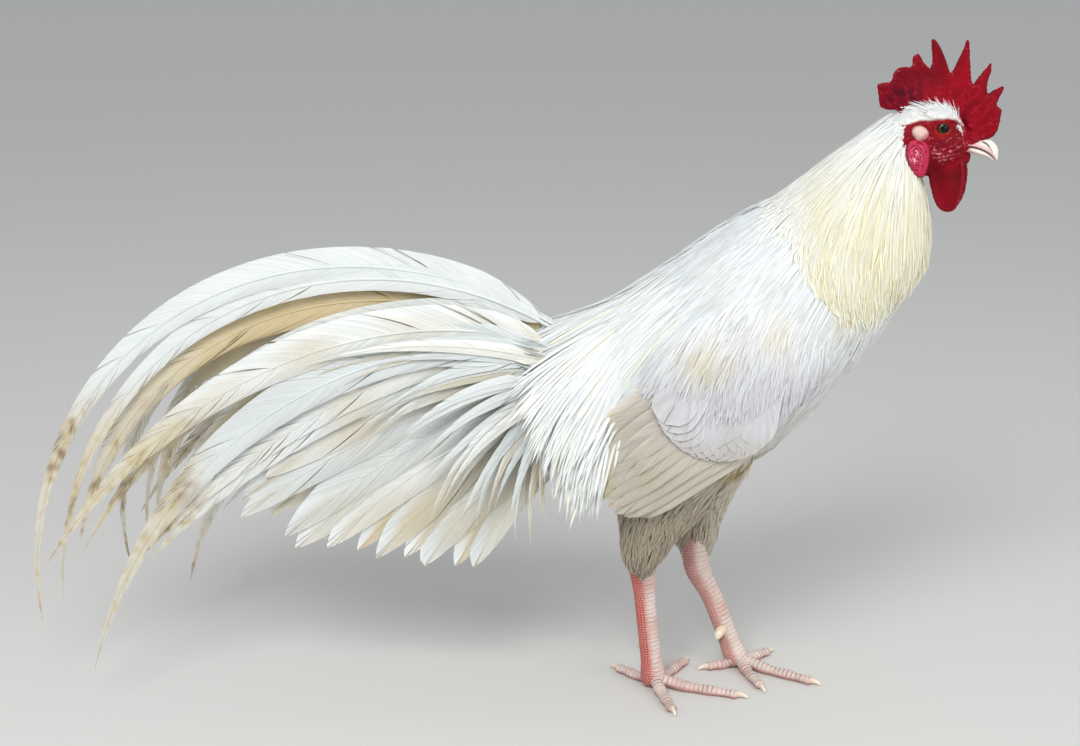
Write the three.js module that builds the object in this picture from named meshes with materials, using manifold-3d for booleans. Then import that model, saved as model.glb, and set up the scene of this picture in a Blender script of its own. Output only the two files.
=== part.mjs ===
// A long-tailed rooster, standing with its head raised and its tail sweeping back and down.
// Millimetres, +X towards the beak, +Y towards the bird's left, +Z up, the soles on z = 0.
import * as THREE from 'three';
import { mergeVertices } from 'three/addons/utils/BufferGeometryUtils.js';
import Module from 'manifold-3d';

const wasm = await Module();
wasm.setup();

const { degToRad, lerp, smoothstep } = THREE.MathUtils;
const right = -1;
const left = 1;
const sideName = { [right]: 'right', [left]: 'left' };

// Driving dimensions
const gap = 0.3; // clearance between pieces that touch
const headTurn = 6; // degrees, the head turned a little to the bird's right
const headPivotX = 150;
const eyeRadius = 6.8;
const combRoot = 9; // thickness of the comb where it leaves the skull
const combEdge = 2.6; // thickness at the tips of its spikes
const stance = 19; // half the distance between the two feet
const shankDepth = 18; // fore and aft thickness of a shank
const shankWidth = 12;
const toeRadius = 5;
const clawLength = 12;
const vaneThickness = 2.2; // a long tail feather, at its shaft
const vaneEdge = 0.6;
const layerStep = 2.9; // from one layer of tail feathers to the next
const firstLayer = 4.5; // from the middle plane to the innermost layer
const tailFlare = 0.12; // how far the layers spread for each millimetre they hang
const tailRidge = 315; // height where that spread starts

const white = 0xf1eee4;
const cream = 0xe9ddb4;
const greyCream = 0xdcd6c6;
const flesh = 0xb01226;
const enamel = 0xefe6d2;
const horn = 0xe8dccb;
const legPink = 0xd9a79c;
const iris = 0xa0642c;

// Sections from the top of the neck to the rump: back point, breast or belly point (x, z), half width.
const torsoSections = [
  { back: [145, 490], belly: [167, 440], half: 19 },
  { back: [127, 474], belly: [174, 422], half: 27 },
  { back: [104, 457], belly: [178, 396], half: 36 },
  { back: [78, 436], belly: [176, 366], half: 47 },
  { back: [54, 418], belly: [158, 338], half: 56 },
  { back: [27, 406], belly: [140, 306], half: 63 },
  { back: [-12, 379], belly: [109, 267], half: 67 },
  { back: [-52, 348], belly: [70, 222], half: 68 },
  { back: [-84, 330], belly: [26, 192], half: 64 },
  { back: [-112, 321], belly: [-28, 172], half: 54 },
  { back: [-134, 310], belly: [-88, 190], half: 38 },
  { back: [-148, 292], belly: [-128, 226], half: 20 },
];
const neckEnd = 0.37; // share of the section list where the neck meets the trunk

const headSections = [
  { back: [144, 486], belly: [161, 444], half: 15 },
  { back: [158, 493], belly: [170, 439], half: 19 },
  { back: [171, 497], belly: [180, 441], half: 18.5 },
  { back: [184, 496], belly: [190, 445], half: 16.5 },
  { back: [194, 488], belly: [197, 449], half: 13.5 },
  { back: [203, 473], belly: [203, 452], half: 10 },
  { back: [209, 464], belly: [208, 455], half: 6 },
];

const upperBeak = [
  { back: [200, 471], belly: [199, 459.2], half: 8.4 },
  { back: [207, 468.5], belly: [206, 458.8], half: 7.4 },
  { back: [214, 467], belly: [213, 458.2], half: 6 },
  { back: [220, 465.5], belly: [219, 457], half: 4.6 },
  { back: [225, 462], belly: [223.5, 455], half: 3 },
  { back: [228.6, 457], belly: [226.4, 452.6], half: 1.7 },
  { back: [229.4, 452.4], belly: [228.2, 450.6], half: 0.7 },
];

const lowerBeak = [
  { back: [199, 458.4], belly: [199, 452.5], half: 7 },
  { back: [207, 458], belly: [207, 452.4], half: 5.8 },
  { back: [214, 457], belly: [214, 452.2], half: 4.6 },
  { back: [220, 455.4], belly: [220, 451.6], half: 3 },
  { back: [224.6, 453], belly: [224.6, 451.2], half: 1.2 },
];

// The comb's outline (x, z): a round rear lobe, then five spikes, the last two leaning forward.
const combOutline = [
  [134, 494], [131, 505], [133, 511], [142, 513], [143, 519], [149, 524], [156, 522], [161, 534],
  [168, 521], [171, 544], [178, 534], [185, 518], [198, 543], [202, 524], [203, 510], [218, 527],
  [216, 512], [216, 502], [230, 508], [221, 497], [219, 490], [224, 487], [221, 480], [223, 470],
  [216, 463], [205, 464], [196, 480],
  [186, 492], [168, 490], [150, 488],
];

const wattleOutline = [
  [175, 456], [170, 440], [172, 424], [181, 414], [191, 411], [200, 417], [203, 434], [202, 455],
];

const lobeOutline = [
  [153, 470], [151, 456], [155, 444], [162, 440], [169, 445], [172, 458], [171, 472], [167, 482], [156, 482],
];

const wingOutline = [
  [97, 321], [94, 296], [80, 273], [58, 250], [34, 227], [5, 205], [-27, 183], [-60, 175], [-77, 182],
  [-80, 211], [-76, 240], [-62, 280], [-40, 312], [-8, 340], [30, 362], [66, 354], [84, 342],
];

const saddleOutline = [
  [-34, 328], [-58, 332], [-98, 318], [-128, 296], [-136, 268], [-130, 237], [-118, 210], [-103, 186],
  [-88, 208], [-76, 238], [-64, 272], [-42, 304],
];

// Long tail feathers of one side. rise and turn are degrees: the heading above level at the root, and how
// far it bends down by the tip; power moves the bend towards the tip; layer 0 is nearest the middle plane.
const sickles = [
  { rise: 34, turn: 134, power: 1.08, length: 648, width: 27, root: [-112, 311], layer: 1 },
  { rise: 31, turn: 124, power: 1.05, length: 590, width: 27, root: [-112, 306], layer: 2 },
  { rise: 26, turn: 110, power: 1.13, length: 512, width: 30, root: [-112, 298], layer: 0 },
  { rise: 26, turn: 83, power: 0.7, length: 505, width: 34, root: [-112, 300], layer: 8 },
  { rise: 11, turn: 87, power: 0.91, length: 522, width: 34, root: [-112, 302], layer: 9 },
  { rise: 7, turn: 55, power: 0.6, length: 405, width: 32, root: [-112, 300], layer: 7 },
];
const tailFeathers = [
  { rise: -12, turn: 26, power: 1.4, length: 318, width: 38, root: [-112, 296], layer: 6 },
  { rise: -19, turn: 10, power: 0.8, length: 285, width: 40, root: [-112, 284], layer: 5 },
  { rise: -30, turn: 3, power: 1, length: 258, width: 42, root: [-110, 264], layer: 4 },
  { rise: -44, turn: 2, power: 1, length: 168, width: 44, root: [-104, 240], layer: 3 },
];
const leftLag = { rise: -2, length: 0.88 }; // the left feathers lie a little lower and end sooner

// Each leg: hock and foot centre, the thigh's two upper points, and where its claws end on the floor.
const legs = [
  {
    side: right,
    hock: [-49, -21, 118],
    foot: [-35, -stance, 0],
    thigh: [
      { back: [-66, 196], belly: [34, 214], half: 27 },
      { back: [-68, 170], belly: [22, 186], half: 26 },
      { back: [-65, 146], belly: [-8, 158], half: 21 },
      { back: [-64, 128], belly: [-27, 132], half: 15 },
      { back: [-61, 112], belly: [-37, 110], half: 9.5 },
    ],
    thighY: -34,
    toes: { middle: [42, -43], inner: [-1, 29], outer: [-21, -74], hind: [-71, 15] },
  },
  {
    side: left,
    hock: [1, 21, 104],
    foot: [41, stance, 0],
    thigh: [
      { back: [-36, 196], belly: [54, 206], half: 27 },
      { back: [-30, 166], belly: [44, 176], half: 26 },
      { back: [-20, 136], belly: [26, 140], half: 20 },
      { back: [-14, 112], belly: [20, 112], half: 14 },
      { back: [-9, 96], belly: [17, 96], half: 9.5 },
    ],
    thighY: 34,
    toes: { middle: [107, -20], inner: [58, -33], outer: [76, 46], hind: [5, 9] },
  },
];

// ---- closed surfaces ----

// A closed surface over rings of equal point counts, with a fan at each end and its faces pointing out.
function overRings(rings) {
  const sides = rings[0].length;
  const ends = [rings[0], rings[rings.length - 1]].map((ring) =>
    ring.reduce((sum, point) => sum.add(point), new THREE.Vector3()).divideScalar(sides));
  const positions = [...rings.flat(), ...ends].flatMap((point) => point.toArray());
  const indices = [];
  const firstEnd = rings.length * sides;
  const lastRing = firstEnd - sides;
  for (let side = 0; side < sides; side++) {
    const next = (side + 1) % sides;
    for (let row = 0; row < lastRing; row += sides) {
      indices.push(row + side, row + next, row + sides + side);
      indices.push(row + next, row + sides + next, row + sides + side);
    }
    indices.push(firstEnd, next, side);
    indices.push(firstEnd + 1, lastRing + side, lastRing + next);
  }
  return facingOut(positions, indices);
}

function facingOut(positions, indices) {
  const corner = [new THREE.Vector3(), new THREE.Vector3(), new THREE.Vector3()];
  let volume = 0;
  for (let i = 0; i < indices.length; i += 3) {
    corner.forEach((point, k) => point.fromArray(positions, indices[i + k] * 3));
    volume += corner[0].dot(corner[1].cross(corner[2]));
  }
  const geometry = new THREE.BufferGeometry();
  geometry.setAttribute('position', new THREE.Float32BufferAttribute(positions, 3));
  geometry.setIndex(volume < 0 ? indices.reverse() : indices);
  geometry.computeVertexNormals();
  return geometry;
}

// Smooth curves through a list of sections, all on the same parameter.
function sectionCurves(sections) {
  const curve = (points) => new THREE.SplineCurve(points.map((point) => new THREE.Vector2(...point)));
  const back = curve(sections.map((section) => section.back));
  const belly = curve(sections.map((section) => section.belly));
  const half = curve(sections.map((section, i) => [i, section.half]));
  return (t) => ({ back: back.getPoint(t), belly: belly.getPoint(t), half: half.getPoint(t).y });
}

// A body of oval sections, upright in the middle plane y = middle.
function loft(sections, { from = 0, to = 1, rings = 10, sides = 18, middle = 0 } = {}) {
  const at = sectionCurves(sections);
  const ring = (t) => {
    const { back, belly, half } = at(t);
    const centre = back.clone().add(belly).multiplyScalar(0.5);
    const up = back.clone().sub(belly).multiplyScalar(0.5);
    return Array.from({ length: sides }, (_, side) => {
      const angle = (side / sides) * Math.PI * 2;
      const point = centre.clone().addScaledVector(up, Math.cos(angle));
      return new THREE.Vector3(point.x, middle + half * Math.sin(angle), point.y);
    });
  };
  return overRings(Array.from({ length: rings }, (_, i) => ring(lerp(from, to, i / (rings - 1)))));
}

// A limb along a curve; size(t) gives its half height and half width, and nothing reaches below the floor.
function limb(points, size, { rings = 8, sides = 8 } = {}) {
  const curve = new THREE.CatmullRomCurve3(points.map((point) => new THREE.Vector3(...point)));
  const ring = (t) => {
    const centre = curve.getPoint(t);
    const along = curve.getTangent(t);
    const level = new THREE.Vector3(-along.y, along.x, 0);
    if (level.length() < 0.3) {
      level.set(0, 1, 0);
    }
    const across = level.addScaledVector(along, -level.dot(along)).normalize();
    const up = along.clone().cross(across);
    const [height, width] = size(t);
    return Array.from({ length: sides }, (_, side) => {
      const angle = ((side + 0.5) / sides) * Math.PI * 2;
      const point = centre.clone().addScaledVector(up, height * Math.cos(angle));
      point.addScaledVector(across, width * Math.sin(angle));
      point.z = Math.max(point.z, 0);
      return point;
    });
  };
  return overRings(Array.from({ length: rings }, (_, i) => ring(i / (rings - 1))));
}

// A pad with an outline in the side view. place(x, z) is the height of its middle surface above y = 0,
// and it bulges outwards by outer and inwards by inner.
function pad(outline, side, { place, outer, inner, points = 20, shares = [0.45, 0.85] }) {
  const curve = new THREE.SplineCurve([...outline, outline[0]].map((point) => new THREE.Vector2(...point)));
  const rim = Array.from({ length: points }, (_, i) => curve.getPoint(i / points));
  const centre = rim.reduce((sum, point) => sum.add(point), new THREE.Vector2()).divideScalar(points);
  const ring = (share, bulge) => rim.map((point) => {
    const flat = point.clone().sub(centre);
    flat.multiplyScalar(share).add(centre);
    return new THREE.Vector3(flat.x, side * (place(flat.x, flat.y) + bulge), flat.y);
  });
  const bulge = (share) => Math.sqrt(1 - share ** 2.6);
  const inside = shares.map((share) => ring(share, -inner * bulge(share)));
  const outside = shares.map((share) => ring(share, outer * bulge(share))).reverse();
  return overRings([...inside, ring(1, 0), ...outside]);
}

// ---- cuts ----

function toSolid(geometry) {
  const bare = geometry.clone();
  bare.deleteAttribute('normal');
  bare.deleteAttribute('uv');
  const merged = mergeVertices(bare, 1e-4);
  const vertProperties = new Float32Array(merged.attributes.position.array);
  const triVerts = new Uint32Array(merged.index.array);
  return new wasm.Manifold(new wasm.Mesh({ numProp: 3, vertProperties, triVerts }));
}

// The room that a piece needs in its neighbours: the same surface moved out by the gap.
function room(geometry) {
  const wider = geometry.clone();
  wider.deleteAttribute('uv');
  wider.deleteAttribute('normal');
  const merged = mergeVertices(wider, 1e-4);
  merged.computeVertexNormals();
  const { position, normal } = merged.attributes;
  for (let i = 0; i < position.count; i++) {
    const point = new THREE.Vector3().fromBufferAttribute(position, i);
    point.addScaledVector(new THREE.Vector3().fromBufferAttribute(normal, i), gap * 1.8);
    position.setXYZ(i, ...point);
  }
  return merged;
}

// The geometry that is left when each tool is taken away from it.
function cut(geometry, ...tools) {
  const result = tools.reduce((solid, tool) => solid.subtract(toSolid(tool)), toSolid(geometry));
  const { vertProperties, triVerts } = result.getMesh();
  const left = new THREE.BufferGeometry();
  left.setAttribute('position', new THREE.BufferAttribute(vertProperties, 3));
  left.setIndex(new THREE.BufferAttribute(triVerts, 1));
  left.computeVertexNormals();
  return left;
}

function piece(name, geometry, color, roughness = 0.8) {
  const mesh = new THREE.Mesh(geometry, new THREE.MeshStandardMaterial({ color, roughness, metalness: 0 }));
  mesh.name = name;
  return mesh;
}

const rooster = new THREE.Group();

// ---- torso ----

// How far the middle surfaces of wing and saddle stand from the middle plane.
const wingPlace = (x, z) => 65 - 9 * smoothstep(z, 285, 365) - 10 * smoothstep(x, 30, 105);
const saddlePlace = (x, z) => lerp(59, 25, smoothstep(z, 245, 352));
const wing = (side) => pad(wingOutline, side, { place: wingPlace, outer: 12, inner: 7, points: 22 });
const saddle = (side) => pad(saddleOutline, side, { place: saddlePlace, outer: 9, inner: 6, points: 16 });
const thigh = ({ thigh: sections, thighY }) => loft(sections, { rings: 6, sides: 12, middle: thighY });
const neck = () => loft(torsoSections, { to: neckEnd - 0.0012, rings: 7, sides: 18 });
const trunk = () => loft(torsoSections, { from: neckEnd, rings: 12, sides: 20 });

function addTorso() {
  const wings = [right, left].map((side) => room(wing(side)));
  const saddles = [right, left].map((side) => room(saddle(side)));
  const thighs = legs.map((leg) => room(thigh(leg)));
  rooster.add(piece('trunk', cut(trunk(), ...wings, ...saddles, ...thighs), white));
  rooster.add(piece('neck', neck(), cream));
  for (const side of [right, left]) {
    rooster.add(piece(`wing_${sideName[side]}`, cut(wing(side), ...thighs), greyCream));
    rooster.add(piece(`saddle_${sideName[side]}`, cut(saddle(side), ...wings), white));
  }
}

// ---- head ----

const wattleShape = { place: () => 8.5, outer: 2.6, inner: 2.6, points: 12, shares: [0.6, 0.9] };
const lobeShape = {
  place: (x) => lerp(20, 16.5, smoothstep(x, 160, 172)),
  outer: 4,
  inner: 3.5,
  points: 12,
  shares: [0.6, 0.9],
};

function spikedPlate(outline) {
  const shape = new THREE.Shape(outline.map((point) => new THREE.Vector2(...point)));
  const bevel = { bevelEnabled: true, bevelThickness: 0.3, bevelSize: 0.7, bevelSegments: 1 };
  const geometry = new THREE.ExtrudeGeometry(shape, { depth: 0.4, ...bevel });
  geometry.translate(0, 0, -0.2);
  geometry.rotateX(Math.PI / 2);
  const position = geometry.attributes.position;
  for (let i = 0; i < position.count; i++) {
    const tall = smoothstep(position.getZ(i), 488, 540);
    const wave = 1.5 * Math.sin((position.getX(i) - headPivotX) / 11);
    position.setY(i, position.getY(i) * lerp(combRoot, combEdge, Math.sqrt(tall)) + wave);
  }
  return geometry;
}

function addHead() {
  const head = new THREE.Group();
  head.position.x = headPivotX;
  head.rotation.z = -degToRad(headTurn);
  const local = (geometry) => geometry.translate(-headPivotX, 0, 0);
  const turnedNeck = local(room(neck()));
  turnedNeck.rotateZ(-head.rotation.z);
  const skull = () => local(loft(headSections, { rings: 8, sides: 14 }));
  const skullRoom = room(skull());
  const eye = (side) => local(new THREE.SphereGeometry(eyeRadius, 12, 8).translate(182, side * 11.6, 478.6));
  const beakTop = () => loft(upperBeak, { rings: 7, sides: 10 });
  const beakBase = () => loft(lowerBeak, { rings: 5, sides: 8 });
  const on = (geometry, ...more) => cut(local(geometry), skullRoom, turnedNeck, ...more);
  head.add(piece('head', cut(skull(), turnedNeck, room(eye(right)), room(eye(left))), flesh, 0.6));
  head.add(piece('comb', on(spikedPlate(combOutline), local(room(beakTop()))), flesh, 0.5));
  head.add(piece('beak_upper', on(beakTop()), horn, 0.4));
  head.add(piece('beak_lower', on(beakBase()), horn, 0.4));
  for (const side of [right, left]) {
    const ahead = side === left ? 4 : 0;
    const lobe = () => pad(lobeOutline, side, lobeShape);
    const wattle = pad(wattleOutline.map(([x, z]) => [x + ahead, z]), side, wattleShape);
    head.add(piece(`eye_${sideName[side]}`, eye(side), iris, 0.2));
    head.add(piece(`ear_lobe_${sideName[side]}`, on(lobe()), enamel, 0.5));
    const around = [local(room(lobe())), local(room(beakBase()))];
    head.add(piece(`wattle_${sideName[side]}`, on(wattle, ...around), flesh, 0.5));
  }
  rooster.add(head);
}

// ---- legs ----

const shank = ({ hock, foot }) => {
  const [hockX, hockY, hockZ] = hock;
  const [footX, footY] = foot;
  const knee = [hockX - 1, hockY, hockZ + 12];
  const ankle = [lerp(footX, hockX, 0.14), footY, 18];
  const size = (t) => {
    const hockSwell = 3 * Math.exp(-(((t - 0.12) / 0.12) ** 2));
    const footSwell = 3 * smoothstep(t, 0.8, 1);
    return [shankDepth / 2 + hockSwell * 0.8 + footSwell * 0.4, shankWidth / 2 + hockSwell * 0.5 + footSwell];
  };
  const middle = [lerp(footX, hockX, 0.6), lerp(footY, hockY, 0.6), hockZ * 0.62];
  return limb([knee, hock, middle, ankle, [footX, footY, 4]], size, { rings: 9, sides: 10 });
};

// The toe runs out level to the root of its claw; the hind toe comes down from a little way up the shank.
function toePath({ foot }, name, [tipX, tipY]) {
  const [footX, footY] = foot;
  const heading = new THREE.Vector2(tipX - footX, tipY - footY);
  const reach = heading.length() - clawLength * 0.75;
  heading.normalize();
  const rootHeight = name === 'hind' ? 13 : 8;
  const at = (distance, z) => [footX + heading.x * distance, footY + heading.y * distance, z];
  return { at, reach, start: at(3, rootHeight) };
}

function toe(leg, name, tip) {
  const { at, reach, start } = toePath(leg, name, tip);
  const size = (t) => {
    const thick = lerp(toeRadius, toeRadius * 0.68, t) * (name === 'hind' ? 0.85 : 1);
    return [thick, thick * 1.05];
  };
  const sole = 0.8; // height of the centre line, in half thicknesses, so that the underside is flat
  const along = [0.4, 0.72, 1].map((t) => at(reach * t, size(t)[0] * sole));
  return limb([start, ...along], size, { rings: 7, sides: 8 });
}

function claw(leg, name, tip) {
  const { at, reach } = toePath(leg, name, tip);
  const arch = [[-0.25, 3.2], [0.3, 4.1], [0.6, 3.2], [0.8, 1.1]];
  const points = arch.map(([t, z]) => at(reach + clawLength * t, z));
  const size = (t) => [lerp(2.9, 0.7, t), lerp(2.3, 0.5, t)];
  return limb(points, size, { rings: 5, sides: 6 });
}

function addLeg(leg) {
  const name = sideName[leg.side];
  const shankRoom = room(shank(leg));
  rooster.add(piece(`thigh_${name}`, cut(thigh(leg), shankRoom), greyCream));
  rooster.add(piece(`shank_${name}`, shank(leg), legPink, 0.6));
  const { foot, hock } = leg;
  const spurAt = [lerp(foot[0], hock[0], 0.3), foot[1] - leg.side * 4, 38];
  const spurTip = [spurAt[0] - 10, spurAt[1] - leg.side * 11, 29];
  const spurBend = [spurAt[0] - 6, spurAt[1] - leg.side * 7, 34.5];
  const taper = (t) => [lerp(3.6, 0.6, t), lerp(3.6, 0.6, t)];
  const spur = limb([spurAt, spurBend, spurTip], taper, { rings: 5, sides: 6 });
  rooster.add(piece(`spur_${name}`, cut(spur, shankRoom), horn, 0.4));
  const taken = [shankRoom];
  for (const [toeName, tip] of Object.entries(leg.toes)) {
    const toeRoom = room(toe(leg, toeName, tip));
    rooster.add(piece(`toe_${name}_${toeName}`, cut(toe(leg, toeName, tip), ...taken), legPink, 0.6));
    rooster.add(piece(`claw_${name}_${toeName}`, cut(claw(leg, toeName, tip), toeRoom), horn, 0.4));
    taken.push(toeRoom);
  }
}

// ---- tail ----

// A long feather: a thin vane whose heading bends down along its length, standing on edge in its layer.
function plume({ rise, turn, power, length, width, root, layer }, side) {
  const lag = side === left ? leftLag : { rise: 0, length: 1 };
  const rings = Math.round(4 + length / 70);
  const steps = (rings - 1) * 6;
  const step = (length * lag.length) / steps;
  const place = new THREE.Vector2(...root);
  const heading = new THREE.Vector2();
  const vane = [];
  for (let i = 0; i <= steps; i++) {
    const t = i / steps;
    const angle = degToRad(rise + lag.rise - turn * t ** power);
    heading.set(-Math.cos(angle), Math.sin(angle));
    if (i % 6 === 0) {
      const blade = lerp(0.5, 1, smoothstep(t, 0, 0.3)) * Math.sqrt(Math.max(1 - t ** 3.2, 0.012));
      vane.push({ place: place.clone(), heading: heading.clone(), half: (width / 2) * blade });
    }
    place.addScaledVector(heading, step);
  }
  const out = (z) => firstLayer + layerStep * layer + Math.max(tailRidge - z, 0) * tailFlare;
  const upper = [[1, vaneEdge], [0, vaneThickness], [-1, vaneEdge]];
  const section = [...upper, ...upper.map(([across, thick]) => [across, -thick]).reverse()];
  return overRings(vane.map(({ place: shaft, heading: along, half }) => section.map(([across, thick]) => {
    const x = shaft.x - along.y * half * across;
    const z = shaft.y + along.x * half * across;
    return new THREE.Vector3(x, side * (out(z) + thick / 2), z);
  })));
}

function addTail() {
  const trunkRoom = room(trunk());
  for (const side of [right, left]) {
    const tools = [trunkRoom, room(saddle(side))];
    const add = (feather, name) => rooster.add(piece(name, cut(plume(feather, side), ...tools), white));
    sickles.forEach((feather, i) => add(feather, `sickle_${sideName[side]}_${i + 1}`));
    tailFeathers.forEach((feather, i) => add(feather, `tail_feather_${sideName[side]}_${i + 1}`));
  }
}

addTorso();
addHead();
legs.forEach(addLeg);
addTail();

// The origin is the middle of the bounding box, on the floor.
rooster.updateMatrixWorld(true);
const box = new THREE.Box3().setFromObject(rooster, true);
rooster.position.set(-(box.min.x + box.max.x) / 2, -(box.min.y + box.max.y) / 2, -box.min.z);

export default rooster;
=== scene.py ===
import itertools
import math

import bmesh
import bpy
import numpy as np
import openvdb
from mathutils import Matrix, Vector
from mathutils.bvhtree import BVHTree


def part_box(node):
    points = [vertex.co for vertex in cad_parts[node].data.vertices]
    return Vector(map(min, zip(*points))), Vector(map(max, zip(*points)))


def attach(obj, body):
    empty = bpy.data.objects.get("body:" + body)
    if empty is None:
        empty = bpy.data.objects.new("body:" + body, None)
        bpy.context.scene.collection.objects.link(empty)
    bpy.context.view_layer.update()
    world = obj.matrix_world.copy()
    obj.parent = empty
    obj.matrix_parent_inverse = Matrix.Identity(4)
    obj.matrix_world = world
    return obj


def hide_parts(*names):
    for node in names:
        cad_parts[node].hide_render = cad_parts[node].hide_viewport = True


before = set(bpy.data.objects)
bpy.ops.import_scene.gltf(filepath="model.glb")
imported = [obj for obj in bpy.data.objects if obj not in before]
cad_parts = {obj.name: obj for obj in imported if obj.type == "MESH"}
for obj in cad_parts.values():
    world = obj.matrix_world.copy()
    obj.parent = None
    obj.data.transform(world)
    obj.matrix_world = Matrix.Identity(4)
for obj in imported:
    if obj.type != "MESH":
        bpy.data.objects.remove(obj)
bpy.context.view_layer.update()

# Lengths are in millimetres, with +X to the beak, +Y to the bird's left and the ground at z = 0.
# The point between the feet lies at x = 0, so every length is moved by originX on its way into the frame.
clawReachX = 107.0  # where the left middle claw ends, before that move
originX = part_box("claw_left_middle")[1].x * 1000 - clawReachX
sides = {"right": -1, "left": 1}


def unit(v):
    return v / np.maximum(np.linalg.norm(v, axis=-1, keepdims=True), 1e-9)


def ease(low, high, x):
    t = np.clip((np.asarray(x, float) - low) / (high - low), 0, 1)
    return t * t * (3 - 2 * t)


def mixed(a, b, t):
    return a + (b - a) * t


def dots(a, b):
    return np.sum(a * b, axis=-1, keepdims=True)


def smoothCurve(points, count):
    # a curve through the points, evenly stepped from point to point
    p = np.asarray(points, float)
    p = np.vstack([2 * p[0] - p[1], p, 2 * p[-1] - p[-2]])
    t = np.linspace(0, len(p) - 3, count)
    i = np.minimum(t.astype(int), len(p) - 4)
    f = (t - i)[:, None]
    a, b, c, d = p[i], p[i + 1], p[i + 2], p[i + 3]
    return 0.5 * (2 * b + (c - a) * f + (2 * a - 5 * b + 4 * c - d) * f**2 + (3 * b - a - 3 * c + d) * f**3)


def lattice(cells, seed):
    # a fixed pseudo-random value from 0 to 1 for each whole-numbered cell
    mash = cells @ np.array([12.9898, 78.233, 37.719]) + seed * 19.19
    return np.mod(np.sin(mash) * 43758.5453, 1)


def cloud(points, size, seed=0):
    # smooth noise from -1 to 1, with lumps about as wide as size
    q = np.asarray(points, float) / size
    cell = np.floor(q)
    f = q - cell
    f = f * f * (3 - 2 * f)
    total = 0
    for corner in itertools.product((0, 1), repeat=3):
        corner = np.array(corner)
        weight = np.prod(np.where(corner, f, 1 - f), axis=-1)
        total = total + lattice(cell + corner, seed) * weight
    return total * 2 - 1


def linear(*colour):
    c = np.asarray(colour, float)
    return np.where(c < 0.04045, c / 12.92, ((c + 0.055) / 1.055) ** 2.4)


def within(points, outline):
    # which (x, z) points lie inside a closed outline
    x, z = points[..., 0], points[..., -1]
    found = np.zeros(x.shape, bool)
    for (x0, z0), (x1, z1) in zip(outline, outline[1:] + outline[:1]):
        crossing = (z0 > z) != (z1 > z)
        found ^= crossing & (x < (x1 - x0) * (z - z0) / ((z1 - z0) or 1e-9) + x0)
    return found


def routeDistance(x, z, route):
    # distance in side view to an open line
    best = np.full(np.shape(x), 1e9)
    for (x0, z0), (x1, z1) in zip(route, route[1:]):
        dx, dz = x1 - x0, z1 - z0
        t = np.clip(((x - x0) * dx + (z - z0) * dz) / max(dx * dx + dz * dz, 1e-9), 0, 1)
        best = np.minimum(best, np.hypot(x - x0 - t * dx, z - z0 - t * dz))
    return best


def outlineDistance(x, z, outline):
    # distance to a closed outline, below 0 inside it
    away = routeDistance(x, z, outline + outline[:1])
    return np.where(within(np.stack([x, z], -1), outline), -away, away)


def toFrame(points):
    return (np.asarray(points, float) + [originX, 0, 0]) * 0.001


featherEdge = 50  # degrees: a feather's edges that fold more than this stay crisp


def makePiece(name, points, faceSets, finish, colours, maps=None, sharp=None):
    mesh = bpy.data.meshes.new(name)
    mesh.vertices.add(len(points))
    mesh.vertices.foreach_set("co", toFrame(points).ravel())
    faceSets = [np.asarray(faces, int) for faces in faceSets if len(faces)]
    corners = np.concatenate([faces.ravel() for faces in faceSets])
    sizes = np.concatenate([np.full(len(faces), faces.shape[1]) for faces in faceSets])
    mesh.loops.add(len(corners))
    mesh.loops.foreach_set("vertex_index", corners)
    mesh.polygons.add(len(sizes))
    mesh.polygons.foreach_set("loop_start", np.concatenate([[0], np.cumsum(sizes)[:-1]]))
    mesh.update(calc_edges=True)
    mesh.polygons.foreach_set("use_smooth", np.ones(len(sizes), bool))
    if sharp:
        mesh.set_sharp_from_angle(angle=math.radians(sharp))
    layer = mesh.color_attributes.new("coatColor", "FLOAT_COLOR", "POINT")
    layer.data.foreach_set("color", np.column_stack([colours, np.ones(len(colours))]).ravel())
    for mapName, uv in (maps or {}).items():
        layer = mesh.uv_layers.new(name=mapName)
        layer.uv.foreach_set("vector", np.asarray(uv)[corners].ravel())
    mesh.materials.append(finish)
    piece = bpy.data.objects.new(name, mesh)
    bpy.context.scene.collection.objects.link(piece)
    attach(piece, "root")
    print(f"  {name}: {int(np.sum(sizes - 2))} triangles")
    return piece


def ringFaces(rings, around):
    # quads between neighbouring rings
    a = np.arange(rings - 1)[:, None] * around + np.arange(around)
    b = np.arange(rings - 1)[:, None] * around + np.roll(np.arange(around), -1)
    return np.stack([a, b, b + around, a + around], -1).reshape(-1, 4)


def lidFaces(rings, around):
    # faces for a stack of rings, with one flat face over each end
    ends = np.arange(around)[None]
    return [ringFaces(rings, around), np.vstack([ends, ends[:, ::-1] + (rings - 1) * around])]


def tubeFaces(rings, around):
    # faces for a stack of rings, with a fan at each end round one of the two points that follow them
    count = rings * around
    step = np.arange(around)
    following = np.roll(step, -1)
    first = np.stack([np.full(around, count), following, step], -1)
    last = np.stack([np.full(around, count + 1), step + count - around, following + count - around], -1)
    return [ringFaces(rings, around), np.vstack([first, last])]


def tube(points, radii, around=24, flat=1.0, up=(0, 0, 1)):
    # a closed tube with rounded ends, as rings and two end points
    ahead = unit(np.gradient(points, axis=0))
    side = unit(np.cross(ahead, up))
    top = np.cross(side, ahead)
    angle = np.linspace(0, 2 * math.pi, around, endpoint=False)
    ring = side[:, None] * np.cos(angle)[:, None] + top[:, None] * np.sin(angle)[:, None] * flat
    rings = points[:, None] + ring * radii[:, None, None]
    ends = np.array([points[0] - ahead[0] * radii[0] * 0.5, points[-1] + ahead[-1] * radii[-1] * 0.5])
    return np.vstack([rings.reshape(-1, 3), ends]), tubeFaces(len(points), around)


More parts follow.
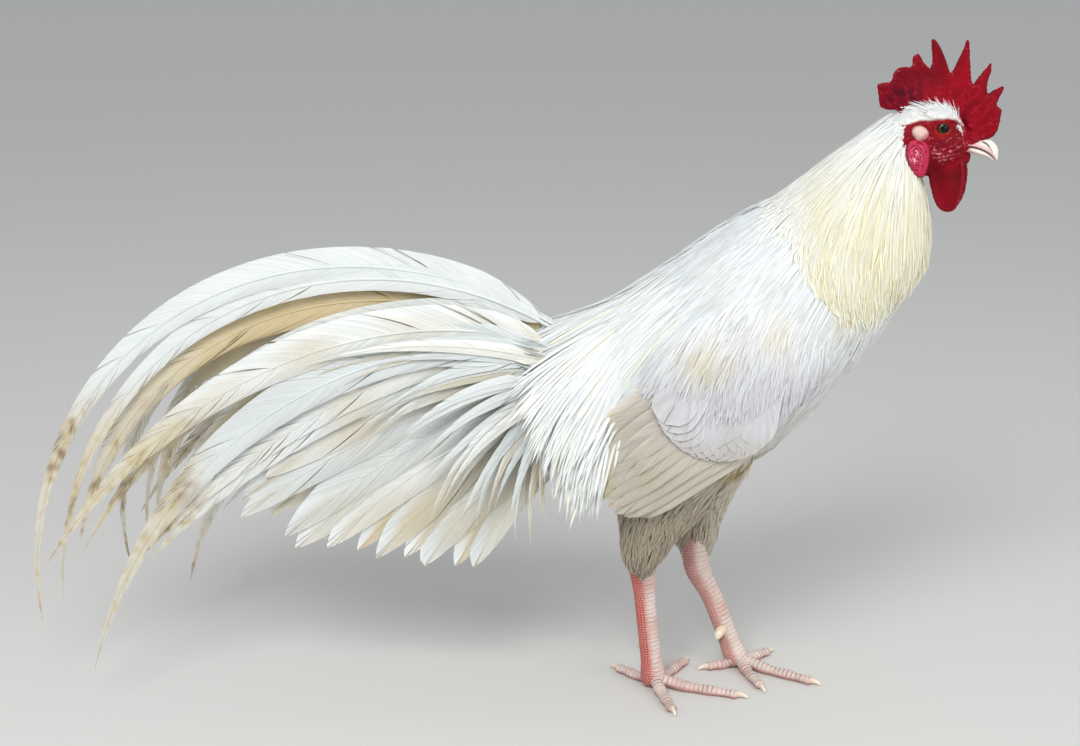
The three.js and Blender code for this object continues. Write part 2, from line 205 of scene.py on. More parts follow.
class Wire:
    # a socket that can be used in sums: each sum adds its Math node
    def __init__(self, tree, socket=None):
        self.tree = tree
        self.socket = socket

    def node(self, kind, settings=None, values=None, out=0):
        made = self.tree.nodes.new("ShaderNode" + kind)
        for key, value in (settings or {}).items():
            setattr(made, key, value)
        for key, value in (values or {}).items():
            if isinstance(value, Wire):
                self.tree.links.new(value.socket, made.inputs[key])
            else:
                made.inputs[key].default_value = value
        return Wire(self.tree, made.outputs[out]) if made.outputs else None

    def sum(self, operation, *values):
        return self.node("Math", {"operation": operation}, dict(enumerate(values)))

    def __add__(self, other):
        return self.sum("ADD", self, other)

    def __mul__(self, other):
        return self.sum("MULTIPLY", self, other)

    __radd__ = __add__
    __rmul__ = __mul__

    def scaled(self, factor):
        return self.node("VectorMath", {"operation": "SCALE"}, {0: self, "Scale": factor})

    def stretched(self, by):
        return self.node("VectorMath", {"operation": "MULTIPLY"}, {0: self, 1: by})

    def noise(self, scale, detail=2.0, roughness=0.5):
        values = {"Vector": self, "Scale": scale, "Detail": detail, "Roughness": roughness}
        return self.node("TexNoise", {}, values)

    def cells(self, scale):
        return self.node("TexVoronoi", {}, {"Vector": self, "Scale": scale})

    def bump(self, strength, distance):
        return self.node("Bump", {}, {"Strength": strength, "Distance": distance, "Height": self})


def startMaterial(name):
    material = bpy.data.materials.new(name)
    material.use_nodes = True
    material.node_tree.nodes.clear()
    return material, Wire(material.node_tree)


def closeMaterial(wire, values):
    shader = wire.node("BsdfPrincipled", {}, values)
    wire.node("OutputMaterial", {}, {"Surface": shader})


def featherMaterial(name, settings):
    # the painted colour, darkened and lit by fine barbs that run along each vane
    material, wire = startMaterial(name)
    paint = wire.node("Attribute", {"attribute_name": "coatColor"})
    along = wire.node("UVMap", {"uv_map": "barbs"})
    barbs = along.stretched((settings["barbs"], settings["barbLength"], 0)).noise(1.0, 3.0, 0.6)
    blotches = wire.node("TexCoord", {}, {}, out="Object").noise(settings["blotches"], 3.0)
    light = barbs * settings["contrast"] + blotches * 0.12 + (0.94 - settings["contrast"] / 2)
    height = barbs.bump(settings["relief"], 0.0004)
    closeMaterial(
        wire,
        {
            "Base Color": paint.scaled(light),
            "Roughness": barbs * 0.2 + settings["roughness"],
            "Normal": height,
            "Specular IOR Level": 0.35,
            "Sheen Weight": settings["sheen"],
            "Sheen Roughness": 0.4,
            "Subsurface Weight": settings["glow"],
            "Subsurface Radius": (0.004, 0.0038, 0.0035),
            "Subsurface Scale": 1.0,
        },
    )
    return material


def skinMaterial(name, settings):
    # bare skin: fine papillae and creases over the modelled ones
    material, wire = startMaterial(name)
    paint = wire.node("Attribute", {"attribute_name": "coatColor"})
    place = wire.node("TexCoord", {}, {}, out="Object")
    papillae = place.cells(settings["papillae"])
    blood = place.noise(settings["blood"], 4.0, 0.6)
    rough = place.noise(settings["papillae"] * 0.5, 3.0)
    light = blood * 0.5 + papillae * 0.3 + 0.62
    closeMaterial(
        wire,
        {
            "Base Color": paint.scaled(light),
            "Roughness": rough * 0.35 + settings["roughness"],
            "Normal": papillae.bump(settings["relief"], 0.0005),
            "Specular IOR Level": settings["gloss"],
            "Subsurface Weight": 0.12,
            "Subsurface Radius": (0.004, 0.001, 0.0006),
            "Subsurface Scale": 1.0,
        },
    )
    return material


def hornMaterial(name, settings):
    # beak and claws: fine growth lines across the painted colour
    material, wire = startMaterial(name)
    paint = wire.node("Attribute", {"attribute_name": "coatColor"})
    place = wire.node("TexCoord", {}, {}, out="Object")
    growth = place.stretched(settings["growth"]).noise(1.0, 3.0, 0.6)
    closeMaterial(
        wire,
        {
            "Base Color": paint.scaled(growth * 0.4 + 0.8),
            "Roughness": growth * 0.25 + settings["roughness"],
            "Normal": growth.bump(0.35, 0.0003),
            "Specular IOR Level": 0.5,
        },
    )
    return material


def eyeMaterial(name):
    # painted iris under a wet, clear coat
    material, wire = startMaterial(name)
    paint = wire.node("Attribute", {"attribute_name": "coatColor"})
    place = wire.node("TexCoord", {}, {}, out="Object")
    flecks = place.noise(1800, 3.0)
    values = {"Base Color": paint.scaled(flecks * 0.6 + 0.7), "Roughness": flecks * 0.1 + 0.12}
    values.update({"Coat Weight": 0.25, "Coat Roughness": 0.03, "Specular IOR Level": 0.08})
    closeMaterial(wire, values)
    return material


# barbs are counted across a vane, blotches, papillae, blood and growth set a noise's scale
softFeather = {"contrast": 0.2, "roughness": 0.45, "sheen": 0.2, "glow": 0.45}
stiffFeather = {"contrast": 0.32, "roughness": 0.45, "sheen": 0.1, "glow": 0.25}
finishes = {
    "hackle": featherMaterial(
        "lemonHackle", softFeather | {"barbs": 7, "barbLength": 1.6, "blotches": 25, "relief": 0.4}
    ),
    "body": featherMaterial(
        "whiteBodyFeather", softFeather | {"barbs": 9, "barbLength": 1.2, "blotches": 30, "relief": 0.5}
    ),
    "vane": featherMaterial(
        "stiffVane", stiffFeather | {"barbs": 10, "barbLength": 1.2, "blotches": 22, "relief": 0.45}
    ),
    "skin": skinMaterial(
        "combSkin", {"papillae": 700, "blood": 90, "relief": 0.6, "roughness": 0.36, "gloss": 0.09}
    ),
    "scale": skinMaterial(
        "legScale", {"papillae": 900, "blood": 120, "relief": 0.35, "roughness": 0.35, "gloss": 0.35}
    ),
    "beak": hornMaterial("beakHorn", {"growth": (260, 260, 900), "roughness": 0.25}),
    "claw": hornMaterial("clawHorn", {"growth": (300, 300, 300), "roughness": 0.3}),
    "eye": eyeMaterial("wetEye"),
}


def nodeShape(name, swell):
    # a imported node's corners and triangles in millimetres, pushed out a little
    shape = bmesh.new()
    shape.from_mesh(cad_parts[name].data)
    bmesh.ops.remove_doubles(shape, verts=shape.verts, dist=1e-6)
    bmesh.ops.triangulate(shape, faces=shape.faces)
    shape.normal_update()
    points = np.array([v.co * 1000 + v.normal * swell for v in shape.verts]) - [originX, 0, 0]
    faces = np.array([[v.index for v in f.verts] for f in shape.faces])
    shape.free()
    return points, faces


def eggShape(centre, radii):
    shape = bmesh.new()
    bmesh.ops.create_icosphere(shape, subdivisions=3, radius=1)
    shape.verts.index_update()
    points = np.array([tuple(v.co) for v in shape.verts]) * radii + centre
    faces = np.array([[v.index for v in f.verts] for f in shape.faces])
    shape.free()
    return points, faces


def joined(shapes):
    points, faces, start = [], [], 0
    for p, f in shapes:
        points.append(p)
        faces.append(f + start)
        start += len(p)
    return np.vstack(points), np.vstack(faces)


def remeshed(points, faces, voxel, rounds):
    # one closed skin over all the given solids, smoothed
    mesh = bpy.data.meshes.new("rough")
    mesh.from_pydata((points * 0.001).tolist(), [], faces.tolist())
    rough = bpy.data.objects.new("rough", mesh)
    bpy.context.scene.collection.objects.link(rough)
    remesh = rough.modifiers.new("one skin", "REMESH")
    remesh.mode = "VOXEL"
    remesh.voxel_size = voxel * 0.001
    smooth = rough.modifiers.new("soften", "SMOOTH")
    smooth.factor = 0.5
    smooth.iterations = rounds
    view = rough.evaluated_get(bpy.context.evaluated_depsgraph_get())
    made = view.to_mesh()
    found = np.empty(len(made.vertices) * 3)
    made.vertices.foreach_get("co", found)
    quads = np.array([tuple(p.vertices) for p in made.polygons if len(p.vertices) == 4])
    view.to_mesh_clear()
    bpy.data.objects.remove(rough)
    bpy.data.meshes.remove(mesh)
    return found.reshape(-1, 3) * 1000, quads


def pointNormals(points, quads):
    across = np.cross(points[quads[:, 2]] - points[quads[:, 0]], points[quads[:, 3]] - points[quads[:, 1]])
    normals = np.zeros_like(points)
    for corner in range(4):
        np.add.at(normals, quads[:, corner], across)
    return unit(normals)


class Surface:
    # finds the nearest place on a mesh, with its smoothed normal
    def __init__(self, points, quads):
        self.points = points
        self.quads = quads
        self.normals = pointNormals(points, quads)
        self.faceNormals = unit(self.normals[quads].mean(1))
        self.tree = BVHTree.FromPolygons(points.tolist(), quads.tolist())

    def nearest(self, points):
        found = [self.tree.find_nearest(p) for p in points.tolist()]
        places = np.array([tuple(hit[0]) for hit in found])
        return places, self.faceNormals[[hit[2] for hit in found]]

    def scatter(self, spacing, seed, keep):
        # places no nearer to each other than the spacing, among those that keep() allows
        random = np.random.default_rng(seed)
        corners = self.points[self.quads]
        diagonals = corners[:, 2] - corners[:, 0], corners[:, 3] - corners[:, 1]
        areas = np.linalg.norm(np.cross(*diagonals), axis=1) / 2
        centres = corners.mean(1)
        allowed = keep(centres)
        weights = np.where(allowed, areas, 0)
        count = int(weights.sum() / spacing**2 * 3.2)
        picks = random.choice(len(self.quads), count, p=weights / weights.sum())
        u, v = random.random((2, count, 1))
        square = corners[picks]
        low = mixed(square[:, 0], square[:, 1], u)
        high = mixed(square[:, 3], square[:, 2], u)
        places = mixed(low, high, v)
        taken = {}
        chosen = []
        cells = np.floor(places / spacing).astype(int).tolist()
        near = list(itertools.product((-1, 0, 1), repeat=3))
        for index, (cell, place) in enumerate(zip(cells, places.tolist())):
            clash = False
            for dx, dy, dz in near:
                other = taken.get((cell[0] + dx, cell[1] + dy, cell[2] + dz))
                if other and math.dist(other, place) < spacing:
                    clash = True
                    break
            if not clash:
                taken[tuple(cell)] = place
                chosen.append(index)
        return places[chosen], self.faceNormals[picks[chosen]]


# the middle of each thigh's lower end (x, y), and the heights between which it closes in on the leg
cuffs = {"right": (-42, -21, 98, 134), "left": (6, 21, 79, 120)}
# where each thigh's feathers reach lowest
thighEnd = {"right": (-42, 101), "left": (5, 86)}


def cuffed(points):
    points = points.copy()
    for name, sign in sides.items():
        x, y, low, high = cuffs[name]
        here = (points[:, 1] * sign > 0) & (points[:, 2] < high)
        share = mixed(0.42, 1, ease(low, high, points[here, 2]))[:, None]
        points[here, :2] = [x, y] + (points[here, :2] - [x, y]) * share
    return points


coatedNodes = ["neck", "trunk"] + [f"{part}_{side}" for part in ("wing", "saddle", "thigh") for side in sides]
coatSettings = {"swell": 0.8, "voxel": 4, "inset": 2.2}
# these fill the hollow between each thigh, its wing and the trunk
fillings = [eggShape(np.array([-12, 46 * sign, 218]), np.array([52, 16, 25])) for sign in sides.values()]


def bodyShape(names, rounds):
    # one closed skin over the named nodes and the fillings, drawn in at the legs
    shape = joined([nodeShape(name, coatSettings["swell"]) for name in names] + fillings)
    points, quads = remeshed(*shape, coatSettings["voxel"], rounds)
    return cuffed(points), quads


coatSurface = Surface(*bodyShape(coatedNodes, 6))
print("coat surface:", len(coatSurface.points), "points")


# the middle line of neck and trunk in side view, from the nape to the root of the tail
bodyAxis = np.array([
    (185, 470), (155, 465), (150, 448), (140, 427), (127, 401), (108, 379), (83, 356), (49, 323), (9, 285),
    (-29, 261), (-70, 246), (-111, 250), (-160, 262),
], float)


def unwrapped(points):
    # (place along the axis, angle round it), each from 0 to 1
    xz = points[:, [0, 2]]
    start, step = bodyAxis[:-1], np.diff(bodyAxis, axis=0)
    t = np.clip(((xz[:, None] - start) * step).sum(-1) / (step**2).sum(-1), 0, 1)
    foot = start + t[..., None] * step
    offset = xz[:, None] - foot
    best = np.argmin((offset**2).sum(-1), axis=1)
    row = np.arange(len(points))
    away = offset[row, best]
    direction = unit(step[best])
    height = away[:, 1] * -direction[:, 0] + away[:, 0] * direction[:, 1]
    angle = np.arctan2(points[:, 1], height) / (2 * math.pi) + 0.5
    return np.column_stack([(best + t[row, best]) / len(step), angle])


def bakePatches(roots, u, v):
    # each tuft is a small patch at its root's place, spread over the piece's part of the unwrap
    place = unwrapped(roots)
    low, high = place.min(0), place.max(0)
    place = 0.01 + 0.98 * (place - low) / np.maximum(high - low, 1e-6)
    patch = (np.stack([u, v], -1) - 0.5) * 0.003
    return place[:, None] + patch


def lieOfCoat(points, guides):
    # the side-view guides (x, z, heading in degrees), blended by nearness
    g = np.asarray(guides, float)
    away = (points[:, None, 0] - g[:, 0]) ** 2 + (points[:, None, 2] - g[:, 1]) ** 2
    weight = 1 / (away + 60) ** 1.5
    heading = np.radians(g[:, 2])
    x = (weight * np.cos(heading)).sum(1)
    z = (weight * np.sin(heading)).sum(1)
    return unit(np.column_stack([x, np.zeros(len(x)), z]))


def hemDistance(points, heading, hem):
    # how far it is along the heading, in side view, to the hem line
    best = np.full(len(points), 1e3)
    for (x0, z0), (x1, z1) in zip(hem[:-1], hem[1:]):
        ex, ez = x1 - x0, z1 - z0
        cross = heading[:, 0] * ez - heading[:, 2] * ex
        cross = np.where(np.abs(cross) < 1e-6, 1e-6, cross)
        rx, rz = x0 - points[:, 0], z0 - points[:, 2]
        t = (rx * ez - rz * ex) / cross
        s = (rx * heading[:, 2] - rz * heading[:, 0]) / cross
        best = np.where((t > 0) & (s >= 0) & (s <= 1), np.minimum(best, t), best)
    return best


def combed(surface, roots, lengths, style, random):
    # feather shafts that follow the surface from their roots, and leave it near their tips
    steps = style["steps"]
    count = len(roots)
    path = np.empty((count, steps + 1, 3))
    up = np.empty_like(path)
    place = roots
    stray = np.radians(random.normal(0, style["stray"], count))[:, None]
    bend = np.radians(random.normal(0, style["bend"], count))[:, None]
    ahead = lieOfCoat(place, style["guides"])
    freeFrom = style["freeFrom"] * steps
    for k in range(steps + 1):
        if k <= freeFrom or k == 0:
            place, normal = surface.nearest(place)
            wanted = lieOfCoat(place, style["guides"])
            wanted = unit(wanted - normal * dots(wanted, normal))
            side = np.cross(normal, wanted)
            outward = np.sign(place[:, 1:2]) * style["splay"] * np.clip(normal[:, 2:3], 0, 1)
            turn = stray + bend * (k / steps - 0.4) * 2
            wanted = unit(wanted + side * turn + np.array([0, 1, 0]) * outward)
            ahead = wanted if k == 0 else unit(mixed(wanted, ahead, 0.45))
            ahead = unit(ahead - normal * dots(ahead, normal))
        else:
            ahead = unit(ahead + np.array([0, 0, -style["sag"] / steps]) + side * bend * 0.1)
            normal = unit(normal - ahead * dots(ahead, normal))
        path[:, k] = place
        up[:, k] = normal
        place = place + ahead * (lengths / steps)[:, None]
    return path, up


def liftedOff(path, up, depth, lift, rise):
    # roots sink into the coat; each feather keeps its own height past the root, and tips rise a little
    t = np.linspace(0, 1, path.shape[1])[None, :, None]
    return path + up * (-depth * (1 - t) ** 4 + lift[:, None, None] * ease(0, 0.35, t) + rise * t**2)


# how wide a strip is at t along it, as a share of its full width
profiles = {
    "strand": lambda t: (0.35 + t) ** 0.4 * np.sqrt(np.clip(1 - t**2.2, 0, 1)),
    "lance": lambda t: np.minimum(1, 0.35 + 1.6 * t) * (1 - t**2.6) ** 0.8,
}
ridge = 0.3  # how far a strip's middle stands above its path


def vaneStrip(path, up, widths, profile, dome, twist):
    # closed strips: each ring has two edges and a ridge between them, and the tip is one point
    count, rings = path.shape[0], path.shape[1] - 1
    ahead = unit(np.gradient(path, axis=1))
    side = unit(np.cross(ahead, up))
    top = np.cross(side, ahead)
    turn = twist[:, None, None]
    side, top = side * np.cos(turn) + top * np.sin(turn), top * np.cos(turn) - side * np.sin(turn)
    t = np.linspace(0, 1, rings + 1)[:-1]
    half = widths[:, None, None] / 2 * profiles[profile](t)[None, :, None]
    core, across, height = path[:, :-1], side[:, :-1], top[:, :-1]
    section = [(-1, -dome, 0), (0, 0, ridge), (1, -dome, 0)]
    ring = np.stack([core + across * half * s + height * (half * d + k) for s, d, k in section], 2)
    around = len(section)
    points = np.concatenate([ring.reshape(count, rings * around, 3), path[:, -1:]], 1)
    offset = np.arange(count)[:, None, None] * (rings * around + 1)
    step = np.arange(around)
    tipStart = (rings - 1) * around
    tips = np.stack([step + tipStart, np.roll(step, -1) + tipStart, np.full(around, rings * around)], -1)
    faceSets = [ringFaces(rings, around), tips, step[::-1][None]]
    faceSets = [(faces[None] + offset).reshape(-1, faces.shape[1]) for faces in faceSets]
    u = np.concatenate([np.tile([0.0, 0.5, 1.0], rings), [0.5]])
    v = np.concatenate([np.repeat(t, around), [1.0]])
    return points, faceSets, u, v


def stripPiece(name, path, up, widths, roots, style, random):
    # the strips along these paths as one piece, with their colours, barbs and bake map
    count = len(path)
    twist = np.radians(random.normal(0, style["twist"], count))
    points, faceSets, u, v = vaneStrip(path, up, widths, style["profile"], style["dome"], twist)
    along = np.broadcast_to(v, points.shape[:2])
    colours = style["tint"](points, along, np.broadcast_to(random.random(count)[:, None], points.shape[:2]))
    barbs = np.stack([np.broadcast_to(u, points.shape[:2]) + random.random((count, 1)) * 9, along], -1)
    maps = {"barbs": barbs.reshape(-1, 2), "OFBake": bakePatches(roots, u, v).reshape(-1, 2)}
    finish = finishes[style["finish"]]
    colours = colours.reshape(-1, 3)
    return makePiece(name, points.reshape(-1, 3), faceSets, finish, colours, maps, featherEdge)


palette = {
    "white": linear(0.965, 0.972, 0.96),
    "cool": linear(0.92, 0.955, 0.962),
    "lemon": linear(0.96, 0.93, 0.76),
    "deepLemon": linear(0.93, 0.85, 0.57),
    "cream": linear(0.93, 0.90, 0.81),
    "plume": linear(0.80, 0.825, 0.82),
    # lilac grey: white feathers as they look in shade, painted as shade
    "lilacShade": linear(0.825, 0.825, 0.845),
    "beige": linear(0.79, 0.76, 0.71),
    "quill": linear(0.71, 0.685, 0.625),
    "drab": linear(0.655, 0.60, 0.51),
    "gold": linear(0.80, 0.70, 0.48),
    "tan": linear(0.75, 0.68, 0.52),
    "stain": linear(0.47, 0.38, 0.26),
    "down": linear(0.86, 0.85, 0.81),
}


# Each tint below gives a feather's colours from its points, the place t along it and its own chance.
def shaded(a, b, share):
    return mixed(palette[a] if isinstance(a, str) else a, palette[b], np.clip(share, 0, 1)[..., None])


def yellowed(points, chance, colour):
    # the two stained places on the wing bow
    x, z = points[..., 0], points[..., 2]
    patch = np.exp(-(((x + 6) / 19) ** 2) - ((z - 304) / 15) ** 2)
    patch = patch + 0.7 * np.exp(-(((x - 50) / 12) ** 2) - ((z - 324) / 16) ** 2)
    return shaded(colour, "deepLemon", patch * (0.15 + 0.5 * chance))


def tintHackle(points, t, chance):
    z, x = points[..., 2], points[..., 0]
    low = ease(490, 395, z)
    rear = ease(85, 60, x)
    colour = shaded("white", "lemon", low * (0.5 + 0.25 * chance) * (1 - rear * 0.6))
    deep = ease(0.4, 0.95, chance) * low * (1 - t * 0.4)
    return shaded(colour, "deepLemon", deep * 0.5 * (1 - rear))


def tintBrow(points, t, chance):
    return shaded("white", "cool", 0.5 * chance)


def tintBack(points, t, chance):
    warm = ease(0.1, 0.7, cloud(points, 42, 3)) * ease(0, 60, points[..., 0])
    colour = shaded("white", "cool", 0.2 + 0.4 * chance)
    return yellowed(points, chance, shaded(colour, "lemon", warm * 0.6 + ease(0.88, 1, chance) * 0.4))


def tintSaddle(points, t, chance):
    colour = shaded("white", "cool", 0.5 * chance)
    return yellowed(points, chance, shaded(colour, "lemon", ease(0.7, 1, chance) * 0.55))


def tintBreast(points, t, chance):
    low = ease(330, 220, points[..., 2])
    colour = shaded("white", "cool", 0.4 * chance)
    shoulder = ease(305, 352, points[..., 2]) * (0.1 + 0.75 * ease(0.1, 0.9, chance))
    colour = shaded(colour, "lemon", shoulder)
    colour = shaded(colour, "beige", low * 0.5 + ease(0.8, 1, chance) * 0.3)
    return shaded(colour, "quill", ease(236, 212, points[..., 2]) * ease(66, 36, points[..., 0]))


def tintFlank(points, t, chance):
    return shaded(shaded("cool", "beige", 0.5 * chance), "quill", ease(255, 215, points[..., 2]))


def tintBow(points, t, chance):
    # painted shade: white turns to the lilac grey of white feathers in shade, more so lower on the bow and by
    # a random share per feather
    colour = shaded("white", "lilacShade", ease(345, 265, points[..., 2]) * 0.8 + 0.3 * chance)
    return yellowed(points, chance, shaded(colour, "deepLemon", ease(0.85, 1, chance) * 0.15))


def tintThigh(points, t, chance):
    stain = np.exp(-(((points[..., 0] - 24) / 26) ** 2 + ((points[..., 2] - 205) / 16) ** 2))
    colour = shaded("quill", "drab", 0.8 * ease(215, 150, points[..., 2]) + 0.5 * chance - 0.1)
    colour = shaded(colour, "gold", stain * 0.8)
    colour = shaded(colour, "cream", ease(0, 12, points[..., 1]) * ease(-10, 20, points[..., 0]) * 0.5)
    return shaded(colour, "stain", stain * 0.6 * chance + ease(0.92, 1, chance) * 0.25)


def tintBelly(points, t, chance):
    colour = shaded("cream", "drab", 0.35 + 0.4 * chance)
    return shaded(colour, "stain", ease(-20, -90, points[..., 0]) * 0.12)


# side-view lines (x, z): the wing, and the hems where the feathers of its bow, the cape and the saddle end
wingOutline = [
    (97, 321), (94, 296), (80, 273), (58, 250), (34, 227), (5, 205), (-27, 183), (-60, 175), (-77, 182),
    (-80, 211), (-76, 240), (-62, 280), (-40, 312), (-8, 340), (30, 362), (66, 354), (84, 342),
]
bowHem = [
    (-60, 290), (-48, 284), (-36, 272), (-21, 265), (-3, 261), (17, 262), (31, 263), (37, 246), (42, 236),
]
capeHem = [
    (30, 440), (52, 430), (64, 412), (70, 388), (78, 364), (90, 349), (102, 343), (118, 340), (128, 343),
    (140, 351), (150, 358), (160, 366), (170, 380), (182, 394),
]
saddleHem = [
    (-178, 300), (-144, 262), (-136, 226), (-126, 202), (-113, 192), (-101, 187), (-88, 196), (-79, 218),
    (-69, 236), (-58, 252), (-50, 269), (-40, 287), (-22, 302), (0, 324), (30, 372),
]

# the areas of the coat in side view, in the order in which they claim a place
coatAreas = {
    "flank": bowHem + [(34, 227), (5, 205), (-27, 183), (-60, 175), (-77, 182), (-80, 211), (-76, 240)],
    "bow": wingOutline,
    "thigh": [(-70, 212), (62, 212), (50, 176), (32, 140), (22, 104), (20, 84), (-70, 84), (-74, 165)],
    "hackle": [
        (46, 434), (80, 450), (104, 475), (125, 495), (146, 540), (240, 540), (240, 410), (185, 380),
        (166, 366), (140, 352), (112, 346), (92, 354), (76, 376),
    ],
    "saddle": [
        (-4, 395), (-34, 385), (-70, 366), (-118, 348), (-170, 320), (-160, 280), (-139, 262), (-134, 242),
        (-122, 224), (-106, 214), (-93, 224), (-78, 246), (-61, 270), (-42, 300), (-20, 328), (4, 352),
    ],
    "belly": [
        (-220, 256), (-220, 60), (300, 60), (60, 190), (5, 200), (-27, 183), (-60, 175), (-77, 182),
        (-80, 211), (-76, 240), (-78, 256),
    ],
    "breast": [
        (300, 400), (185, 380), (166, 366), (140, 352), (112, 346), (90, 336), (97, 321), (94, 296),
        (80, 273), (58, 250), (34, 227), (5, 200), (60, 190), (300, 60),
    ],
    "back": [(-400, 0), (400, 0), (400, 900), (-400, 900)],
}
areaSides = {"bow": 36, "flank": 36, "thigh": 12}  # how far from the midline these areas begin
thighTop = 235  # places of the back area that lie lower than this carry thigh feathers


def areaOf(points):
    # each place belongs to the first area that holds it
    found = np.full(len(points), "none", dtype="U8")
    y = np.abs(points[:, 1])
    for name, outline in coatAreas.items():
        here = within(points, outline) & (found == "none") & (y > areaSides.get(name, -1))
        found[here] = name
    found[(found == "back") & (points[:, 2] < thighTop)] = "thigh"
    return found


# For each kind of feather: how far apart the roots are, how long and how wide the feathers are, the steps
# along a shaft, the dome of its section, how deep the root sinks, how high the feathers lie and their tips
# rise, and how far they stray, bend and twist. They follow the side-view guides (x, z, heading in degrees) to
# their hem, where the area has one, splay outwards, and from freeFrom on they leave the surface and sag.
restingFeather = {
    "profile": "strand", "splay": 0, "freeFrom": 1, "sag": 0, "hem": None, "finish": "body",
    "slot": "body_feathers",
}
coatStyles = {
    "hackle": {
        "spacing": 1.9, "length": (30, 100), "width": (2.6, 4.4), "steps": 8, "dome": 0.14,
        "depth": 1.8, "lift": (0.0, 1.4), "rise": 0.7, "stray": 2.5, "bend": 8, "twist": 7, "splay": 0.1,
        "freeFrom": 0.85, "sag": 0.1, "finish": "hackle", "slot": "hackle_feathers", "tint": tintHackle,
        "hem": capeHem,
        "guides": [
            (150, 492, -162), (128, 485, -146), (100, 465, -138), (76, 440, -134), (60, 424, -122),
            (130, 449, -110), (103, 449, -126), (82, 424, -118), (70, 411, -104), (74, 391, -90),
            (76, 365, -74), (90, 346, -58), (104, 372, -90), (108, 356, -70), (117, 341, -56),
            (130, 352, -92), (138, 391, -96), (152, 371, -93), (150, 440, -98), (160, 400, -92),
            (165, 380, -86), (120, 410, -106),
        ],
    },
    "back": {
        "spacing": 2.7, "length": (46, 96), "width": (3.2, 5.6), "steps": 8, "dome": 0.12,
        "depth": 2.2, "lift": (0.0, 0.9), "rise": 0.3, "stray": 2, "bend": 3, "twist": 5, "splay": 0.16,
        "tint": tintBack,
        "guides": [
            (60, 424, -136), (20, 400, -142), (-10, 372, -142), (60, 390, -128), (40, 370, -128),
            (80, 350, -118), (0, 360, -136),
        ],
    },
    "saddle": {
        "spacing": 2.3, "length": (48, 150), "width": (2.8, 4.4), "steps": 8, "dome": 0.14,
        "depth": 1.8, "lift": (0.4, 2.8), "rise": 1, "stray": 1.5, "bend": 4, "twist": 8, "splay": 0.12,
        "freeFrom": 0.6, "sag": 0.3, "tint": tintSaddle, "hem": saddleHem,
        "guides": [
            (0, 375, -142), (-30, 360, -144), (-70, 340, -148), (-120, 320, -152), (-20, 345, -132),
            (-50, 325, -128), (-90, 315, -128), (-130, 298, -128), (-60, 295, -112), (-90, 285, -108),
            (-120, 275, -106), (-135, 255, -99), (-112, 235, -95), (-92, 235, -92), (-78, 255, -95),
        ],
    },
    "breast": {
        "spacing": 3.1, "length": (30, 56), "width": (4.0, 6.8), "steps": 7, "profile": "lance", "dome": 0.1,
        "depth": 2.0, "lift": (0.0, 0.9), "rise": 0.5, "stray": 4, "bend": 6, "twist": 5, "tint": tintBreast,
        "guides": [
            (160, 360, -108), (140, 320, -118), (110, 280, -126), (80, 240, -136), (40, 205, -150),
            (100, 320, -112), (95, 290, -118), (70, 255, -132), (110, 340, -104), (130, 345, -100),
        ],
    },
    "bow": {
        "spacing": 2.3, "length": (22, 50), "width": (2.4, 3.9), "steps": 7, "profile": "lance", "dome": 0.16,
        "depth": 1.8, "lift": (0.4, 2.0), "rise": 0.8, "stray": 4, "bend": 8, "twist": 9, "tint": tintBow,
        "slot": "wing_and_thigh_feathers", "hem": bowHem + [(58, 246), (80, 268), (120, 300)],
        "guides": [
            (60, 350, -124), (84, 330, -108), (50, 315, -103), (20, 340, -122), (0, 315, -114),
            (-30, 310, -122), (40, 280, -97), (10, 280, -100), (-20, 282, -106), (80, 290, -100),
            (-50, 290, -118),
        ],
    },
    "thigh": {
        "spacing": 2.1, "length": (14, 30), "width": (1.3, 2.5), "steps": 5, "dome": 0.2,
        "depth": 1.0, "lift": (0.0, 1.0), "rise": 0.8, "stray": 8, "bend": 15, "twist": 12, "tint": tintThigh,
        "freeFrom": 0.5, "sag": 0.1, "slot": "wing_and_thigh_feathers",
        "guides": [
            (30, 200, -132), (0, 190, -124), (-40, 185, -112), (-20, 150, -102), (-55, 150, -96),
            (-45, 120, -92), (20, 150, -100), (5, 110, -94),
        ],
    },
    "belly": {
        "spacing": 3.4, "length": (24, 48), "width": (2.8, 5.0), "steps": 6, "profile": "lance", "dome": 0.2,
        "depth": 4, "lift": (0.0, 3.0), "rise": 1.5, "stray": 9, "bend": 12, "twist": 18, "tint": tintBelly,
        "guides": [
            (60, 200, -160), (0, 180, -172), (-60, 200, -185), (-110, 190, -200), (-130, 240, -190),
            (-60, 240, -150),
        ],
    },
}
coatStyles["flank"] = coatStyles["breast"] | {"length": (18, 32), "spacing": 2.7, "tint": tintFlank}
coatStyles = {name: restingFeather | style for name, style in coatStyles.items()}
startReach = 18  # how far above its own area a row of feathers may start
flankFacing = 0.75  # beneath the wing quills, places that face the side more than this stay bare
noHem = 900  # a reach longer than this means that the hem isn't ahead


def featherLengths(roots, name, style, seed, random):
    # how far each feather reaches: raggedly to its hem, or a random length where the area has no hem
    low, high = style["length"]
    if not style["hem"]:
        lengths = random.uniform(low, high, len(roots))
        if name == "back":
            lengths = lengths * mixed(1, 0.7, ease(60, 0, roots[:, 0]))
        return roots, lengths
    reach = hemDistance(roots, lieOfCoat(roots, style["guides"]), style["hem"])
    roots, reach = roots[reach < noHem], reach[reach < noHem]
    ragged = random.normal(0, 5, len(roots)) + 11 * cloud(roots, 9, seed)
    if name == "saddle":
        ragged = ragged * 1.6
    if name == "hackle":
        ragged = ragged * (mixed(2.2, 1.6, ease(60, 110, roots[:, 0])) + ease(118, 150, roots[:, 0]))
    return roots, np.clip(reach + ragged, low * 0.6, high * random.uniform(0.8, 1, len(roots)))


